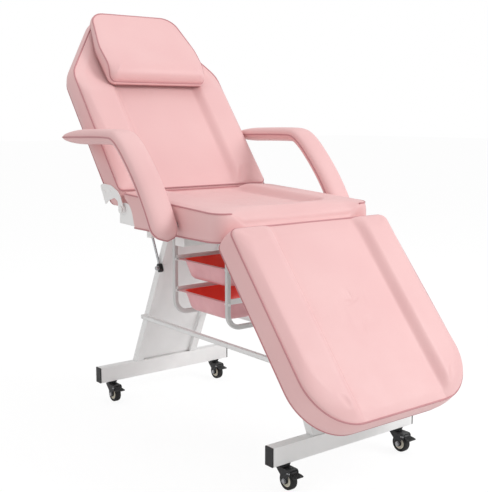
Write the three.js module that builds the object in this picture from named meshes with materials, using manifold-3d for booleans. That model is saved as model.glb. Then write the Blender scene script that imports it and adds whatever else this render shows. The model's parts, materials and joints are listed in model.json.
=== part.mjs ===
// Facial treatment bed: a three-section couch on a welded steel base. The back rest reclines on side plates
// and is held by two sliding prop rods, the leg rest hangs from the front of the seat on a telescopic prop,
// both arm rests swing, two trays slide out of a rack below the seat, and four braked swivel casters carry it.
//
// Units are millimetres. +Z is up, +Y points to the head end and +X is across the bed. The model is laid out
// from the middle of the base, and the finished bed is then moved so that the middle of its box lies at y = 0.

import * as THREE from 'three';
import { mergeVertices } from 'three/addons/utils/BufferGeometryUtils.js';
import Module from 'manifold-3d';

const wasm = await Module();
wasm.setup();

// ---- Driving dimensions ----

const GAP = 0.3; // between pieces that rest against each other
const RUNNING = 0.4; // radial clearance of pins and axles that turn
const SIDES = [-1, 1]; // the left (-X) and the right (+X) side
const SIDE_NAMES = { '-1': 'left', 1: 'right' };

const CUSHION_HALF = 280; // half the width of all three cushions
const BOARD = 12; // plywood under each cushion
const CUSHION_BEVEL = 18;

const SEAT = { top: 690, thick: 85, front: -254, rear: 226, cornerRound: 45, rise: 26 }; // top is at the front
const SEAT_ARC = { y: 255, z: 610, radius: 85 }; // hollow in the seat's rear that the back rest turns in
const BACK = { y: 225, z: 721, angle: 52.3, thick: 85, length: 685, shoulder: 455, topHalf: 125 };
const LEG = { y: -318, z: 663, angle: 50.4, thick: 88, length: 562, endRound: 140 };
const PILLOW = { low: 388, high: 678, lowHalf: 180, highHalf: 150, lift: 2.2, thick: 60, highThick: 26 };

const BACK_PIVOT = { y: 223, z: 655, radius: 6 };
const LEG_PIVOT = { y: -256, z: 622, radius: 4 };
const ARM_PIVOT = { y: -73, z: 638, radius: 6 };

const ARM = { inner: 290, outer: 372 };
const TUBE = 25; // seat frame and leg tubes
const WALL = 1.5;
const FRAME_TUBE = 20; // tubes behind the back rest and the leg rest
const RAIL_X = 100; // middle of those frames' long rails

const FOOT = { y: 439, half: 258, deep: 30, tall: 50, capLength: 4, capPlug: 24, wall: 2 };
const CASTER = { x: 208, height: 67, wheelRadius: 25, wheelHalf: 10, trail: 18, axle: 4, facets: 20 };
const PEDAL_PIN = { y: 32, z: 51, radius: 2 };
const LEG_PANEL = { low: 424, high: 208.3, half: 120, depth: 27.6, sheet: 1.5, sheetDepth: 12, sideGap: 2.5 };
const STRETCHER = { z: 283, tall: 13, wide: 13, reach: 372, boltY: 360 };

const FRAME_TOP = SEAT.top - SEAT.thick - GAP; // top of the seat frame
const FRAME_LOW = FRAME_TOP - TUBE;
const FOOT_TOP = CASTER.height + FOOT.tall;

const RACK = { rear: 122, front: -140, x: 160, wide: 14, deep: 12, low: 338, bend: 46, rails: [505, 410] };
const RAIL = { thick: 3, wide: 10, tall: 16 };
const TRAY = { depth: 58, wall: 2.5, draft: 14, corner: 26, lip: 3 };

const STRUT = { x: 127, radius: 4, eye: 9, along: 200, overrun: 8, y: 260, z: 459, slack: 3.2 };
const LEG_STRUT = { x: 136, along: 110, y: -162, z: 545, tubeRadius: 9, boreRadius: 6, rodRadius: 4, pin: 3.5 };
const LEG_STRUT_ENDS = { neck: 0.08, bottom: 0.1, rod: 0.25, mouth: 0.72 }; // as shares of the prop's length

const degrees = THREE.MathUtils.degToRad;

// ---- Materials ----

function finish(color, roughness, metalness) {
  return new THREE.MeshStandardMaterial({ color, roughness, metalness });
}

const pinkVinyl = finish(0xf6cfce, 0.5, 0);
const trayPlastic = finish(0xe0a6a8, 0.4, 0);
const whitePaint = finish(0xe8e7e5, 0.35, 0.2);
const blackPlastic = finish(0x1b1b1d, 0.5, 0);
const tyreRubber = finish(0x141414, 0.6, 0);
const plywood = finish(0xb48a5c, 0.7, 0);
const elastic = finish(0xd9a9aa, 0.8, 0);
const brightSteel = finish(0xb9bbbe, 0.3, 0.9);

// ---- Geometry helpers ----

function toSolid(geometry) {
  const bare = geometry.clone();
  bare.deleteAttribute('normal');
  bare.deleteAttribute('uv');
  const merged = mergeVertices(bare, 1e-3);
  return new wasm.Manifold(new wasm.Mesh({
    numProp: 3,
    vertProperties: new Float32Array(merged.attributes.position.array),
    triVerts: new Uint32Array(merged.index.array),
  }));
}

function toGeometry(solid) {
  const mesh = solid.getMesh();
  const geometry = new THREE.BufferGeometry();
  geometry.setAttribute('position', new THREE.BufferAttribute(mesh.vertProperties, 3));
  geometry.setIndex(new THREE.BufferAttribute(mesh.triVerts, 1));
  geometry.computeVertexNormals();
  return geometry;
}

function join(...geometries) {
  const [first, ...rest] = geometries.map(toSolid);
  return toGeometry(rest.reduce((solid, piece) => solid.add(piece), first));
}

function cut(geometry, ...cutters) {
  return toGeometry(cutters.map(toSolid).reduce((solid, cutter) => solid.subtract(cutter), toSolid(geometry)));
}

// A block between two values on each axis, given in either order.
function block(xs, ys, zs) {
  const size = [xs, ys, zs].map(([a, b]) => Math.abs(b - a));
  const middle = [xs, ys, zs].map(([a, b]) => (a + b) / 2);
  return new THREE.BoxGeometry(...size).translate(...middle);
}

// A round bar along X between two x values.
function barX(radius, [xa, xb], y, z, segments = 12) {
  const bar = new THREE.CylinderGeometry(radius, radius, Math.abs(xb - xa), segments);
  return bar.rotateZ(Math.PI / 2).translate((xa + xb) / 2, y, z);
}

// A round bar in the YZ plane from one point to another.
function barYZ(radius, x, [ya, za], [yb, zb], segments = 10) {
  const length = Math.hypot(yb - ya, zb - za);
  const bar = new THREE.CylinderGeometry(radius, radius, length, segments);
  bar.rotateX(Math.atan2(zb - za, yb - ya));
  return bar.translate(x, (ya + yb) / 2, (za + zb) / 2);
}

// An outline of [across, up, round] corners; round is how far from the corner its curve starts and ends,
// which is less on an edge too short for it.
function outline(corners) {
  const shape = new THREE.Shape();
  corners.forEach(([a, b, round = 0], i) => {
    const corner = new THREE.Vector2(a, b);
    const towards = ([c, d]) => {
      const edge = new THREE.Vector2(c, d).sub(corner);
      return edge.setLength(Math.min(round, edge.length() * 0.45)).add(corner);
    };
    const enter = towards(corners.at(i - 1));
    const leave = towards(corners[(i + 1) % corners.length]);
    if (i === 0) shape.moveTo(enter.x, enter.y);
    else shape.lineTo(enter.x, enter.y);
    if (round > 0) shape.quadraticCurveTo(a, b, leave.x, leave.y);
  });
  return shape;
}

function extrude(shape, depth, bevel = 0, curveSegments = 5) {
  return new THREE.ExtrudeGeometry(shape, {
    depth: depth - 2 * bevel,
    bevelEnabled: bevel > 0,
    bevelThickness: bevel,
    bevelSize: bevel,
    bevelOffset: -bevel,
    bevelSegments: 2,
    curveSegments,
  }).translate(0, 0, bevel);
}

// A [y, z] outline extruded along X between two x values.
function plateX(corners, [xa, xb], bevel = 0, curveSegments = 5) {
  const plate = extrude(outline(corners), Math.abs(xb - xa), bevel, curveSegments);
  plate.applyMatrix4(new THREE.Matrix4().set(0, 0, 1, 0, 1, 0, 0, 0, 0, 1, 0, 0, 0, 0, 0, 1));
  return plate.translate(Math.min(xa, xb), 0, 0);
}

// An [x, z] outline extruded along Y between two y values.
function plateY(corners, [ya, yb]) {
  const plate = extrude(outline(corners), Math.abs(yb - ya));
  return plate.rotateX(Math.PI / 2).translate(0, Math.max(ya, yb), 0);
}

// An [x, y] outline extruded along Z between two heights.
function plateZ(corners, [za, zb], bevel = 0) {
  return extrude(outline(corners), zb - za, bevel).translate(0, 0, za);
}

// The four corners of a rectangle about the middle of X, all with the same round.
function rectangle(half, [low, high], round = 0) {
  return [[-half, low, round], [half, low, round], [half, high, round], [-half, high, round]];
}

function piece(name, geometry, material) {
  const mesh = new THREE.Mesh(geometry, material);
  mesh.name = name;
  return mesh;
}

// ---- Base: feet, leg frames and stretchers ----

function footTube(y) {
  const deep = [y - FOOT.deep / 2, y + FOOT.deep / 2];
  const tall = [CASTER.height, FOOT_TOP];
  const end = FOOT.half - FOOT.capLength;
  const bore = block(
    [-FOOT.half, FOOT.half],
    [deep[0] + FOOT.wall, deep[1] - FOOT.wall],
    [tall[0] + FOOT.wall, tall[1] - FOOT.wall],
  );
  return cut(block([-end, end], deep, tall), bore);
}

function footCap(side, y) {
  const end = FOOT.half - FOOT.capLength;
  const inset = FOOT.wall + GAP;
  const half = FOOT.deep / 2;
  const head = block([side * (end + GAP), side * FOOT.half], [y - half, y + half], [CASTER.height, FOOT_TOP]);
  const plug = block(
    [side * (end - FOOT.capPlug), side * (end + 1)],
    [y - half + inset, y + half - inset],
    [CASTER.height + inset, FOOT_TOP - inset],
  );
  return join(head, plug);
}

// Depth of a leaning leg's face (towards the middle of the bed) at height z, for the rear leg.
function legFace(z) {
  const run = (z - FOOT_TOP) / (FRAME_LOW - FOOT_TOP);
  return LEG_PANEL.low + run * (LEG_PANEL.high - LEG_PANEL.low);
}

// A leaning slab of a leg: between two heights, and between two depths measured from the leg's inner face.
function legSlab(end, xs, [low, high], [near, far]) {
  return plateX([
    [end * (legFace(low) + near), low],
    [end * (legFace(low) + far), low],
    [end * (legFace(high) + far), high],
    [end * (legFace(high) + near), high],
  ], xs);
}

// end is 1 for the rear leg and -1 for the front one, its mirror image.
function legFrame(end) {
  const low = FOOT_TOP + GAP;
  const high = FRAME_LOW - GAP;
  const { half, depth } = LEG_PANEL;
  const crossDepth = [LEG_PANEL.sheetDepth + LEG_PANEL.sheet + GAP, depth];
  const crossHeights = [[low, low + TUBE], [high - TUBE, high]];
  const outer = [
    ...SIDES.map((side) => legSlab(end, [side * (half - TUBE), side * half], [low, high], [0, depth])),
    ...crossHeights.map((heights) => legSlab(end, [-half + 1, half - 1], heights, crossDepth)),
  ];
  const bores = SIDES.map((side) => legSlab(
    end,
    [side * (half - TUBE + WALL), side * (half - WALL)],
    [low - 1, high + 1],
    [WALL, depth - WALL],
  ));
  const bottomBore = legSlab(
    end,
    [-half + TUBE / 2, half - TUBE / 2],
    [low + WALL, low + TUBE - WALL],
    [crossDepth[0] + WALL, depth - WALL],
  );
  return cut(join(...outer), ...bores, bottomBore);
}

// The rear leg also carries the ears that the prop guides turn in.
function rearLegFrame() {
  const ears = SIDES.map((side) => block(
    [side * (LEG_PANEL.half - 4), side * LEG_PANEL.half],
    [STRUT.y - 12, legFace(STRUT.z) + 4],
    [STRUT.z - 12, STRUT.z + 12],
  ));
  const bores = SIDES.map((side) => barX(
    5 + RUNNING,
    [side * (LEG_PANEL.half - 6), side * (LEG_PANEL.half + 2)],
    STRUT.y,
    STRUT.z,
  ));
  return cut(join(legFrame(1), ...ears), ...bores);
}

function legSheet(end) {
  const x = LEG_PANEL.half - TUBE - LEG_PANEL.sideGap;
  const { sheet, sheetDepth } = LEG_PANEL;
  return legSlab(end, [-x, x], [FOOT_TOP + 3, FRAME_LOW - 3], [sheetDepth, sheetDepth + sheet]);
}

function stretcher(side) {
  const inner = side * (LEG_PANEL.half + GAP);
  const outer = inner + side * STRETCHER.wide;
  const heights = [STRETCHER.z - STRETCHER.tall / 2, STRETCHER.z + STRETCHER.tall / 2];
  const bar = block([inner, outer], [-STRETCHER.reach, STRETCHER.reach], heights);
  const head = [outer - side, outer + side * 4];
  const bolts = [-1, 1].map((end) => barX(5, head, end * STRETCHER.boltY, STRETCHER.z, 6));
  return join(bar, ...bolts);
}

function addBase(bed) {
  for (const [name, end] of [['front', -1], ['rear', 1]]) {
    bed.add(piece(`${name}_foot_tube`, footTube(end * FOOT.y), whitePaint));
    bed.add(piece(`${name}_leg_frame`, end > 0 ? rearLegFrame() : legFrame(end), whitePaint));
    bed.add(piece(`${name}_leg_sheet`, legSheet(end), whitePaint));
    for (const side of SIDES) {
      bed.add(piece(`${name}_foot_cap_${SIDE_NAMES[side]}`, footCap(side, end * FOOT.y), blackPlastic));
    }
  }
  for (const side of SIDES) {
    bed.add(piece(`stretcher_${SIDE_NAMES[side]}`, stretcher(side), whitePaint));
  }
}

// ---- Seat ----

const HINGE_PLATE_X = [CUSHION_HALF - 10 + GAP, CUSHION_HALF - 10 + GAP + 3];

// Where the hinge plates on one side lie along X, with a margin on both faces.
function hingePlateSpan(side, margin = 0) {
  const [inner, outer] = HINGE_PLATE_X;
  return [side * (inner - margin), side * (outer + margin)];
}

// Welded tube frame with the ears of the leg rest's hinge and the upright plates that carry the arm rests.
function seatFrame() {
  const heights = [FRAME_LOW, FRAME_TOP];
  const railEnds = [-238, 236];
  const rail = LEG_PANEL.half;
  const parts = [];
  for (const side of SIDES) {
    parts.push(block([side * (rail - TUBE), side * rail], railEnds, heights));
    const { y, z } = LEG_PIVOT;
    const ear = [
      [y + 31, FRAME_LOW], [y + 31, z - 22], [y + 14, z - 20], [y + 7.5, z - 6, 4], [y + 7, z + 4, 4],
      [y, z + 8, 5], [y - 8, z, 5], [y - 6, z - 14, 4], [y + 10, FRAME_LOW, 4],
    ];
    parts.push(plateX(ear, [side * (rail - 7), side * (rail - 3)]));
    const armPlate = [[ARM_PIVOT.y - 22, FRAME_LOW], [ARM_PIVOT.y + 22, FRAME_LOW],
      [ARM_PIVOT.y + 20, ARM_PIVOT.z + 18, 12], [ARM_PIVOT.y - 20, ARM_PIVOT.z + 18, 12]];
    parts.push(plateX(armPlate, hingePlateSpan(side)));
  }
  const crossBars = [
    [railEnds[0], rail],
    [RACK.front - TUBE / 2, RACK.x + RACK.wide / 2],
    [ARM_PIVOT.y - TUBE / 2, HINGE_PLATE_X[1]],
    [RACK.rear - TUBE / 2, CUSHION_HALF - 30],
    [railEnds[1] - TUBE, rail],
  ];
  for (const [y, reach] of crossBars) {
    parts.push(block([-reach, reach], [y, y + TUBE], heights));
  }
  parts.push(...strutClevis());
  const armBore = ARM_PIVOT.radius + RUNNING;
  const bores = SIDES.flatMap((side) => [
    barX(LEG_PIVOT.radius + RUNNING, [side * (rail - 9), side * rail], LEG_PIVOT.y, LEG_PIVOT.z),
    barX(armBore, hingePlateSpan(side, 1), ARM_PIVOT.y, ARM_PIVOT.z),
  ]);
  return cut(join(...parts), ...bores);
}

// Two cheeks and a pin below the front hoop's cross bar, for the leg rest's telescopic prop.
function strutClevis() {
  const { x, y, z, pin } = LEG_STRUT;
  const cheeks = SIDES.map((side) => block(
    [x + side * 7, x + side * 10],
    [y - 8, RACK.front],
    [z - 8, FRAME_LOW + 1],
  ));
  return [...cheeks, barX(pin, [x - 9, x + 9], y, z)];
}

function seatBoard() {
  const low = SEAT.top - SEAT.thick;
  const rear = SEAT_ARC.y - SEAT_ARC.radius - 4;
  return plateZ(rectangle(CUSHION_HALF - 10, [SEAT.front + 20, rear], 24), [low, low + BOARD]);
}

function seatCushion() {
  const low = SEAT.top - SEAT.thick + BOARD + GAP;
  const { front, rear, cornerRound } = SEAT;
  const half = CUSHION_HALF;
  const plan = [[-half, front, cornerRound], [half, front, cornerRound], [half, rear, 26], [-half, rear, 26]];
  const hollow = barX(SEAT_ARC.radius, [-half - 5, half + 5], SEAT_ARC.y, SEAT_ARC.z, 36);
  const slots = SIDES.flatMap((side) => [
    block(hingePlateSpan(side, 1), [58, rear + 5], [low - 1, 678]),
    block(hingePlateSpan(side, 1), [ARM_PIVOT.y - 23, ARM_PIVOT.y + 23], [low - 1, ARM_PIVOT.z + 19]),
    barX(12, [side * (half - 17), side * (half + 1)], ARM_PIVOT.y, ARM_PIVOT.z),
  ]);
  const notches = SIDES.map((side) => block(
    [side * (LEG_PANEL.half - 14), side * (LEG_PANEL.half + 8)],
    [front - 1, front + 18],
    [low - 1, LEG_PIVOT.z + 12],
  ));
  const wedge = raiseRear(plateZ(plan, [low, SEAT.top], CUSHION_BEVEL), low);
  return cut(wedge, hollow, ...slots, ...notches);
}

// Slopes the seat's top up towards the back rest and leaves its underside level.
function raiseRear(geometry, low) {
  const { position } = geometry.attributes;
  for (let i = 0; i < position.count; i += 1) {
    const run = (position.getY(i) - SEAT.front) / (SEAT.rear - SEAT.front);
    const height = (position.getZ(i) - low) / (SEAT.top - low);
    position.setZ(i, position.getZ(i) + SEAT.rise * run * height);
  }
  return geometry;
}

// White side plate screwed to the seat board's edge; the back rest turns on a pin through it.
function seatHingePlate(side) {
  const low = SEAT.top - SEAT.thick + 2;
  const corners = [[60, low], [250, low + 6, 4], [248, 672, 12], [214, 677, 12], [150, 660, 20], [60, 640, 8]];
  const bore = barX(BACK_PIVOT.radius + RUNNING, hingePlateSpan(side, 2), BACK_PIVOT.y, BACK_PIVOT.z);
  return cut(plateX(corners, hingePlateSpan(side)), bore);
}

function backHingePin(side) {
  const { y, z, radius } = BACK_PIVOT;
  const [inner, outer] = HINGE_PLATE_X;
  const shaft = barX(radius, [side * (inner - 5), side * 287], y, z);
  const nut = barX(11, [side * (inner - 6), side * (inner - GAP)], y, z, 6);
  const spacer = barX(10, [side * (outer + GAP), side * (CUSHION_HALF - 1)], y, z);
  const head = barX(10, [side * 284, side * 288], y, z);
  return join(shaft, nut, spacer, head);
}

// One long pin across the bed, between the seat and the leg rest.
function legHingeRod() {
  const rail = LEG_PANEL.half;
  const { y, z, radius } = LEG_PIVOT;
  const shaft = barX(radius, [-rail - 7, rail + 7], y, z);
  const collars = SIDES.flatMap((side) => [
    barX(7, [side * (rail - 11), side * (rail - 7 - GAP)], y, z),
    barX(7, [side * (rail - 3 + GAP), side * (rail + 1)], y, z),
  ]);
  return join(shaft, ...collars);
}

function armPivotBolt(side) {
  const { y, z, radius } = ARM_PIVOT;
  const [inner, outer] = HINGE_PLATE_X;
  const shaft = barX(radius, [side * (inner - 5), side * (ARM.inner + 30)], y, z);
  const nut = barX(10, [side * (inner - 6), side * (inner - GAP)], y, z, 6);
  const collar = barX(11, [side * (outer + GAP), side * (ARM.inner - 0.6)], y, z);
  return join(shaft, nut, collar);
}

function addSeat(bed) {
  bed.add(piece('seat_frame', seatFrame(), whitePaint));
  bed.add(piece('seat_board', seatBoard(), plywood));
  bed.add(piece('seat_cushion', seatCushion(), pinkVinyl));
  bed.add(piece('leg_hinge_rod', legHingeRod(), brightSteel));
  for (const side of SIDES) {
    const name = SIDE_NAMES[side];
    bed.add(piece(`seat_hinge_plate_${name}`, seatHingePlate(side), whitePaint));
    bed.add(piece(`back_hinge_pin_${name}`, backHingePin(side), brightSteel));
    bed.add(piece(`arm_pivot_bolt_${name}`, armPivotBolt(side), brightSteel));
  }
}

// ---- Back rest: local x across, y up along the face, z out of the face ----

const BACK_PIN_DEPTH = -(BACK.thick + FRAME_TUBE / 2 + GAP);

// World [y, z] of a point on the back rest, from its place along the face and its height over the face.
function backPoint(along, height) {
  const turn = degrees(BACK.angle);
  return [
    BACK.y + along * Math.cos(turn) - height * Math.sin(turn),
    BACK.z + along * Math.sin(turn) + height * Math.cos(turn),
  ];
}

function backOutline(inset) {
  const half = CUSHION_HALF - inset;
  const top = BACK.topHalf - inset;
  const { shoulder, length } = BACK;
  return [
    [-half, inset, 35], [half, inset, 35], [half, shoulder - inset, 60],
    [top, length - inset, 60], [-top, length - inset, 60], [-half, shoulder - inset, 60],
  ];
}

function backFrame() {
  const depth = [-BACK.thick - GAP, -BACK.thick - GAP - FRAME_TUBE];
  const half = FRAME_TUBE / 2;
  const railXs = (side) => [side * (RAIL_X - half), side * (RAIL_X + half)];
  const rails = SIDES.map((side) => block(railXs(side), [30, 540], depth));
  const bars = [[60, CUSHION_HALF], [300, RAIL_X + half], [530, RAIL_X + half]].map(([along, reach]) => block(
    [-reach, reach],
    [along - half, along + half],
    depth,
  ));
  const pins = SIDES.map((side) => barX(
    5,
    [side * (RAIL_X + 2), side * (STRUT.x + 8)],
    STRUT.along,
    BACK_PIN_DEPTH,
  ));
  return join(...rails, ...bars, ...pins);
}

function backStrap() {
  const front = PILLOW.lift - 1.8;
  const rear = -BACK.thick - 4;
  const high = BACK.length + 4;
  return plateX([
    [600, front], [600, front + 1.5], [high, front + 1.5], [high, rear], [540, rear], [540, rear + 2.5],
    [high - 2.5, rear + 2.5], [high - 2.5, front],
  ], [-30, 30]);
}

function headrestPillow() {
  const { low, high, lowHalf, highHalf, lift, thick } = PILLOW;
  const plan = [[-lowHalf, low, 40], [lowHalf, low, 40], [highHalf, high, 50], [-highHalf, high, 50]];
  return taperPillow(plateZ(plan, [lift, lift + thick], 18));
}

// Thins the pillow towards its upper end and leaves its underside flat.
function taperPillow(geometry) {
  const { low, high, lift, thick, highThick } = PILLOW;
  const { position } = geometry.attributes;
  for (let i = 0; i < position.count; i += 1) {
    const run = (position.getY(i) - low) / (high - low);
    const share = 1 + run * (highThick / thick - 1);
    position.setZ(i, lift + share * (position.getZ(i) - lift));
  }
  return geometry;
}

// White plate on the side of the back rest, reaching down to the pivot, in world coordinates.
function backHingePlate(side) {
  const { y, z, radius } = BACK_PIVOT;
  const corners = [
    [y - 12, z, 10], [y + 2, z - 13, 8], [y + 17, z - 2, 6], [250, 676, 10], [283, 684, 14], [314, 672, 8],
    [322, 670, 2], [349, 721, 6], [304, 727, 14], [262, 714, 14], [228, 694, 10],
  ];
  const xs = [side * (CUSHION_HALF + GAP), side * (CUSHION_HALF + GAP + 3)];
  return cut(plateX(corners, xs), barX(radius + RUNNING, [side * CUSHION_HALF, side * 286], y, z));
}

function addBackRest(bed) {
  const back = new THREE.Group();
  back.position.set(0, BACK.y, BACK.z);
  back.rotation.x = degrees(BACK.angle);
  const boardTop = -BACK.thick + BOARD;
  back.add(piece('back_frame', backFrame(), whitePaint));
  back.add(piece('back_board', plateZ(backOutline(10), [-BACK.thick, boardTop]), plywood));
  back.add(piece('back_cushion', plateZ(backOutline(0), [boardTop + GAP, 0], CUSHION_BEVEL), pinkVinyl));
  back.add(piece('headrest_pillow', headrestPillow(), pinkVinyl));
  back.add(piece('headrest_strap', backStrap(), elastic));
  bed.add(back);
  for (const side of SIDES) {
    bed.add(piece(`back_hinge_plate_${SIDE_NAMES[side]}`, backHingePlate(side), whitePaint));
  }
}

// ---- Back rest props: a rod hung from the back frame slides through a guide that turns on the rear leg ----

const STRUT_EYE = backPoint(STRUT.along, BACK_PIN_DEPTH);
const STRUT_RISE = [STRUT_EYE[0] - STRUT.y, STRUT_EYE[1] - STRUT.z];
const STRUT_SPAN = Math.hypot(...STRUT_RISE);
const STRUT_ANGLE = Math.atan2(STRUT_RISE[1], STRUT_RISE[0]);

function strutRod(side) {
  const x = side * STRUT.x;
  const [eyeY, eyeZ] = STRUT_EYE;
  const fraction = -STRUT.overrun / STRUT_SPAN;
  const end = [STRUT.y + fraction * STRUT_RISE[0], STRUT.z + fraction * STRUT_RISE[1]];
  const eye = barX(STRUT.eye, [x - 5, x + 5], eyeY, eyeZ);
  const rod = barYZ(STRUT.radius, x, end, STRUT_EYE);
  return cut(join(eye, rod), barX(5 + RUNNING, [x - 6, x + 6], eyeY, eyeZ));
}

function strutGuide(side) {
  const guide = new THREE.Group();
  guide.position.set(0, STRUT.y, STRUT.z);
  guide.rotation.x = STRUT_ANGLE;
  const inner = LEG_PANEL.half + 0.6;
  const outer = STRUT.x + STRUT.radius + 3;
  const slotHalf = STRUT.radius + STRUT.slack;
  const body = plateX([[-17, -11, 8], [17, -11, 8], [17, 11, 8], [-17, 11, 8]], [side * inner, side * outer]);
  const slot = block(
    [side * (STRUT.x - STRUT.radius - 0.7), side * (STRUT.x + STRUT.radius + 0.7)],
    [-20, 20],
    [-slotHalf, slotHalf],
  );
  const stub = barX(5, [side * (inner - 5), side * (inner + 1)], 0, 0);
  guide.add(piece(`back_strut_guide_${SIDE_NAMES[side]}`, join(cut(body, slot), stub), blackPlastic));
  return guide;
}

function addStruts(bed) {
  for (const side of SIDES) {
    bed.add(piece(`back_strut_${SIDE_NAMES[side]}`, strutRod(side), brightSteel));
    bed.add(strutGuide(side));
  }
}

// ---- Leg rest: local x across, y from the foot end (negative) to the hinge edge (0), z out of the face ----

function legPoint(along, height) {
  const turn = degrees(LEG.angle);
  return [
    LEG.y - along * Math.cos(turn) - height * Math.sin(turn),
    LEG.z - along * Math.sin(turn) + height * Math.cos(turn),
  ];
}

const LEG_PIN_DEPTH = -(LEG.thick + FRAME_TUBE / 2 + GAP);

function legOutline(inset) {
  const half = CUSHION_HALF - inset;
  const end = -LEG.length + inset;
  return [[-half, end, LEG.endRound], [half, end, LEG.endRound], [half, -inset, 26], [-half, -inset, 26]];
}

function legRestFrame() {
  const depth = [-LEG.thick - GAP, -LEG.thick - GAP - FRAME_TUBE];
  const half = FRAME_TUBE / 2;
  const railXs = (side) => [side * (RAIL_X - half), side * (RAIL_X + half)];
  const rails = SIDES.map((side) => block(railXs(side), [-450, -14], depth));
  const bars = [40, 240, 440].map((along) => block(
    [-RAIL_X - half, RAIL_X + half],
    [-along - half, -along + half],
    depth,
  ));
  const pin = barX(LEG_STRUT.pin, [RAIL_X, LEG_STRUT.x + 7], -LEG_STRUT.along, LEG_PIN_DEPTH);
  return join(...rails, ...bars, pin, ...SIDES.map(legHingeArm));
}

// Plate from a rail of the leg rest's frame round the hinge edge to the pivot, in the leg rest's own axes.
function legHingeArm(side) {
  const [y, z] = legPivotLocal();
  const low = -LEG.thick - GAP - FRAME_TUBE;
  const corners = [
    [-44, low], [-44, low + FRAME_TUBE], [-11, low + FRAME_TUBE], [y - 9, z - 10, 4], [y - 8, z + 2, 4],
    [y, z + 8, 5], [y + 8, z + 2, 4], [y + 8, z - 8, 5], [-8, low, 6],
  ];
  const arm = plateX(corners, [side * (RAIL_X + 9), side * (RAIL_X + 26)]);
  const relief = block([side * 108, side * (LEG_PANEL.half + 2)], [-34, y + 20], [low - 1, z + 20]);
  return cut(arm, relief, barX(LEG_PIVOT.radius + RUNNING, [side * 107, side * 128], y, z));
}

function legPivotLocal() {
  const turn = degrees(LEG.angle);
  const [dy, dz] = [LEG_PIVOT.y - LEG.y, LEG_PIVOT.z - LEG.z];
  return [dy * Math.cos(turn) + dz * Math.sin(turn), -dy * Math.sin(turn) + dz * Math.cos(turn)];
}

// A cutter for the notches in the hinge edge that clear the seat frame's ears.
function legNotch(side) {
  const [, z] = legPivotLocal();
  return block([side * (LEG_PANEL.half - 14), side * (LEG_PANEL.half + 8)], [-26, 1], [-LEG.thick - 1, z + 13]);
}

function addLegRest(bed) {
  const leg = new THREE.Group();
  leg.position.set(0, LEG.y, LEG.z);
  leg.rotation.x = degrees(LEG.angle);
  const boardTop = -LEG.thick + BOARD;
  leg.add(piece('leg_rest_frame', legRestFrame(), whitePaint));
  const notches = SIDES.map(legNotch);
  const board = cut(plateZ(legOutline(12), [-LEG.thick, boardTop]), ...notches);
  const cushion = cut(plateZ(legOutline(0), [boardTop + GAP, 0], CUSHION_BEVEL), ...notches);
  leg.add(piece('leg_rest_board', board, plywood));
  leg.add(piece('leg_rest_cushion', cushion, pinkVinyl));
  bed.add(leg);
  addLegStrut(bed);
}

// Telescopic prop beside the right-hand leg tube: its tube turns on the seat frame, its rod on the leg rest.
function addLegStrut(bed) {
  const { x, tubeRadius, boreRadius, rodRadius, pin } = LEG_STRUT;
  const low = [LEG_STRUT.y, LEG_STRUT.z];
  const high = legPoint(LEG_STRUT.along, LEG_PIN_DEPTH);
  const along = (fraction) => low.map((value, i) => value + fraction * (high[i] - value));
  const width = [x - 6, x + 6];
  const bore = (point) => barX(pin + RUNNING, [x - 9, x + 9], ...point);
  const { neck, bottom, rod, mouth } = LEG_STRUT_ENDS;
  const stem = barYZ(5, x, along(neck / 4), along(bottom));
  const tube = join(barYZ(tubeRadius, x, along(neck), along(mouth)), stem, barX(8, width, ...low));
  const hollow = barYZ(boreRadius, x, along(bottom), along(mouth + 0.02));
  const rodBody = join(barYZ(rodRadius, x, along(rod), along(1)), barX(8, width, ...high));
  bed.add(piece('leg_strut_tube', cut(tube, hollow, bore(low)), blackPlastic));
  bed.add(piece('leg_strut_rod', cut(rodBody, bore(high)), brightSteel));
}

// ---- Arm rests ----

// Side outline [y, z, round]: pointed rear tip, level grip, broad bend, slope down to the pivot end.
const ARM_OUTLINE = [
  [443, 867, 20], [408, 889, 20], [146, 889, 58], [12, 785, 70], [-130, 606, 18],
  [-94, 582, 16], [44, 753, 70], [140, 846, 36], [408, 846, 20],
];

function armPad(side) {
  const pad = plateX(ARM_OUTLINE, [side * ARM.inner, side * ARM.outer]);
  const { y, z, radius } = ARM_PIVOT;
  return cut(pad, barX(radius + RUNNING, [side * (ARM.inner - 1), side * (ARM.inner + 31)], y, z));
}

function addArms(bed) {
  for (const side of SIDES) {
    bed.add(piece(`arm_pad_${SIDE_NAMES[side]}`, armPad(side), pinkVinyl));
  }
}

// ---- Tray rack ----

// A U-shaped hoop across the bed with two angle rails; inward is the way along Y to the trays.
function rackHoop(y, inward) {
  const { x, wide, deep, low, bend } = RACK;
  const outer = x + wide / 2;
  const inner = x - wide / 2;
  const high = FRAME_LOW - GAP;
  const hoop = plateY([
    [-outer, high], [-outer, low, bend], [outer, low, bend], [outer, high],
    [inner, high], [inner, low + wide, bend - wide], [-inner, low + wide, bend - wide], [-inner, high],
  ], [y - deep / 2, y + deep / 2]);
  const face = y + inward * (deep / 2);
  const rails = RACK.rails.flatMap((z) => [
    block([-x, x], [face - inward, face + inward * RAIL.wide], [z, z + RAIL.thick]),
    block([-x, x], [face - inward, face + inward * RAIL.thick], [z, z + RAIL.tall]),
  ]);
  return join(hoop, ...rails);
}

// A ring of points round a rounded rectangle at one height.
function ring(halfX, [yLow, yHigh], corner, z) {
  const points = [];
  const steps = 4;
  const corners = [[halfX, yHigh, 0], [-halfX, yHigh, 1], [-halfX, yLow, 2], [halfX, yLow, 3]];
  for (const [x, y, quarter] of corners) {
    const cx = x - Math.sign(x) * corner;
    const cy = y + (quarter < 2 ? -corner : corner);
    for (let i = 0; i <= steps; i += 1) {
      const angle = (quarter + i / steps) * (Math.PI / 2);
      points.push([cx + corner * Math.cos(angle), cy + corner * Math.sin(angle), z]);
    }
  }
  return points;
}

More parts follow.
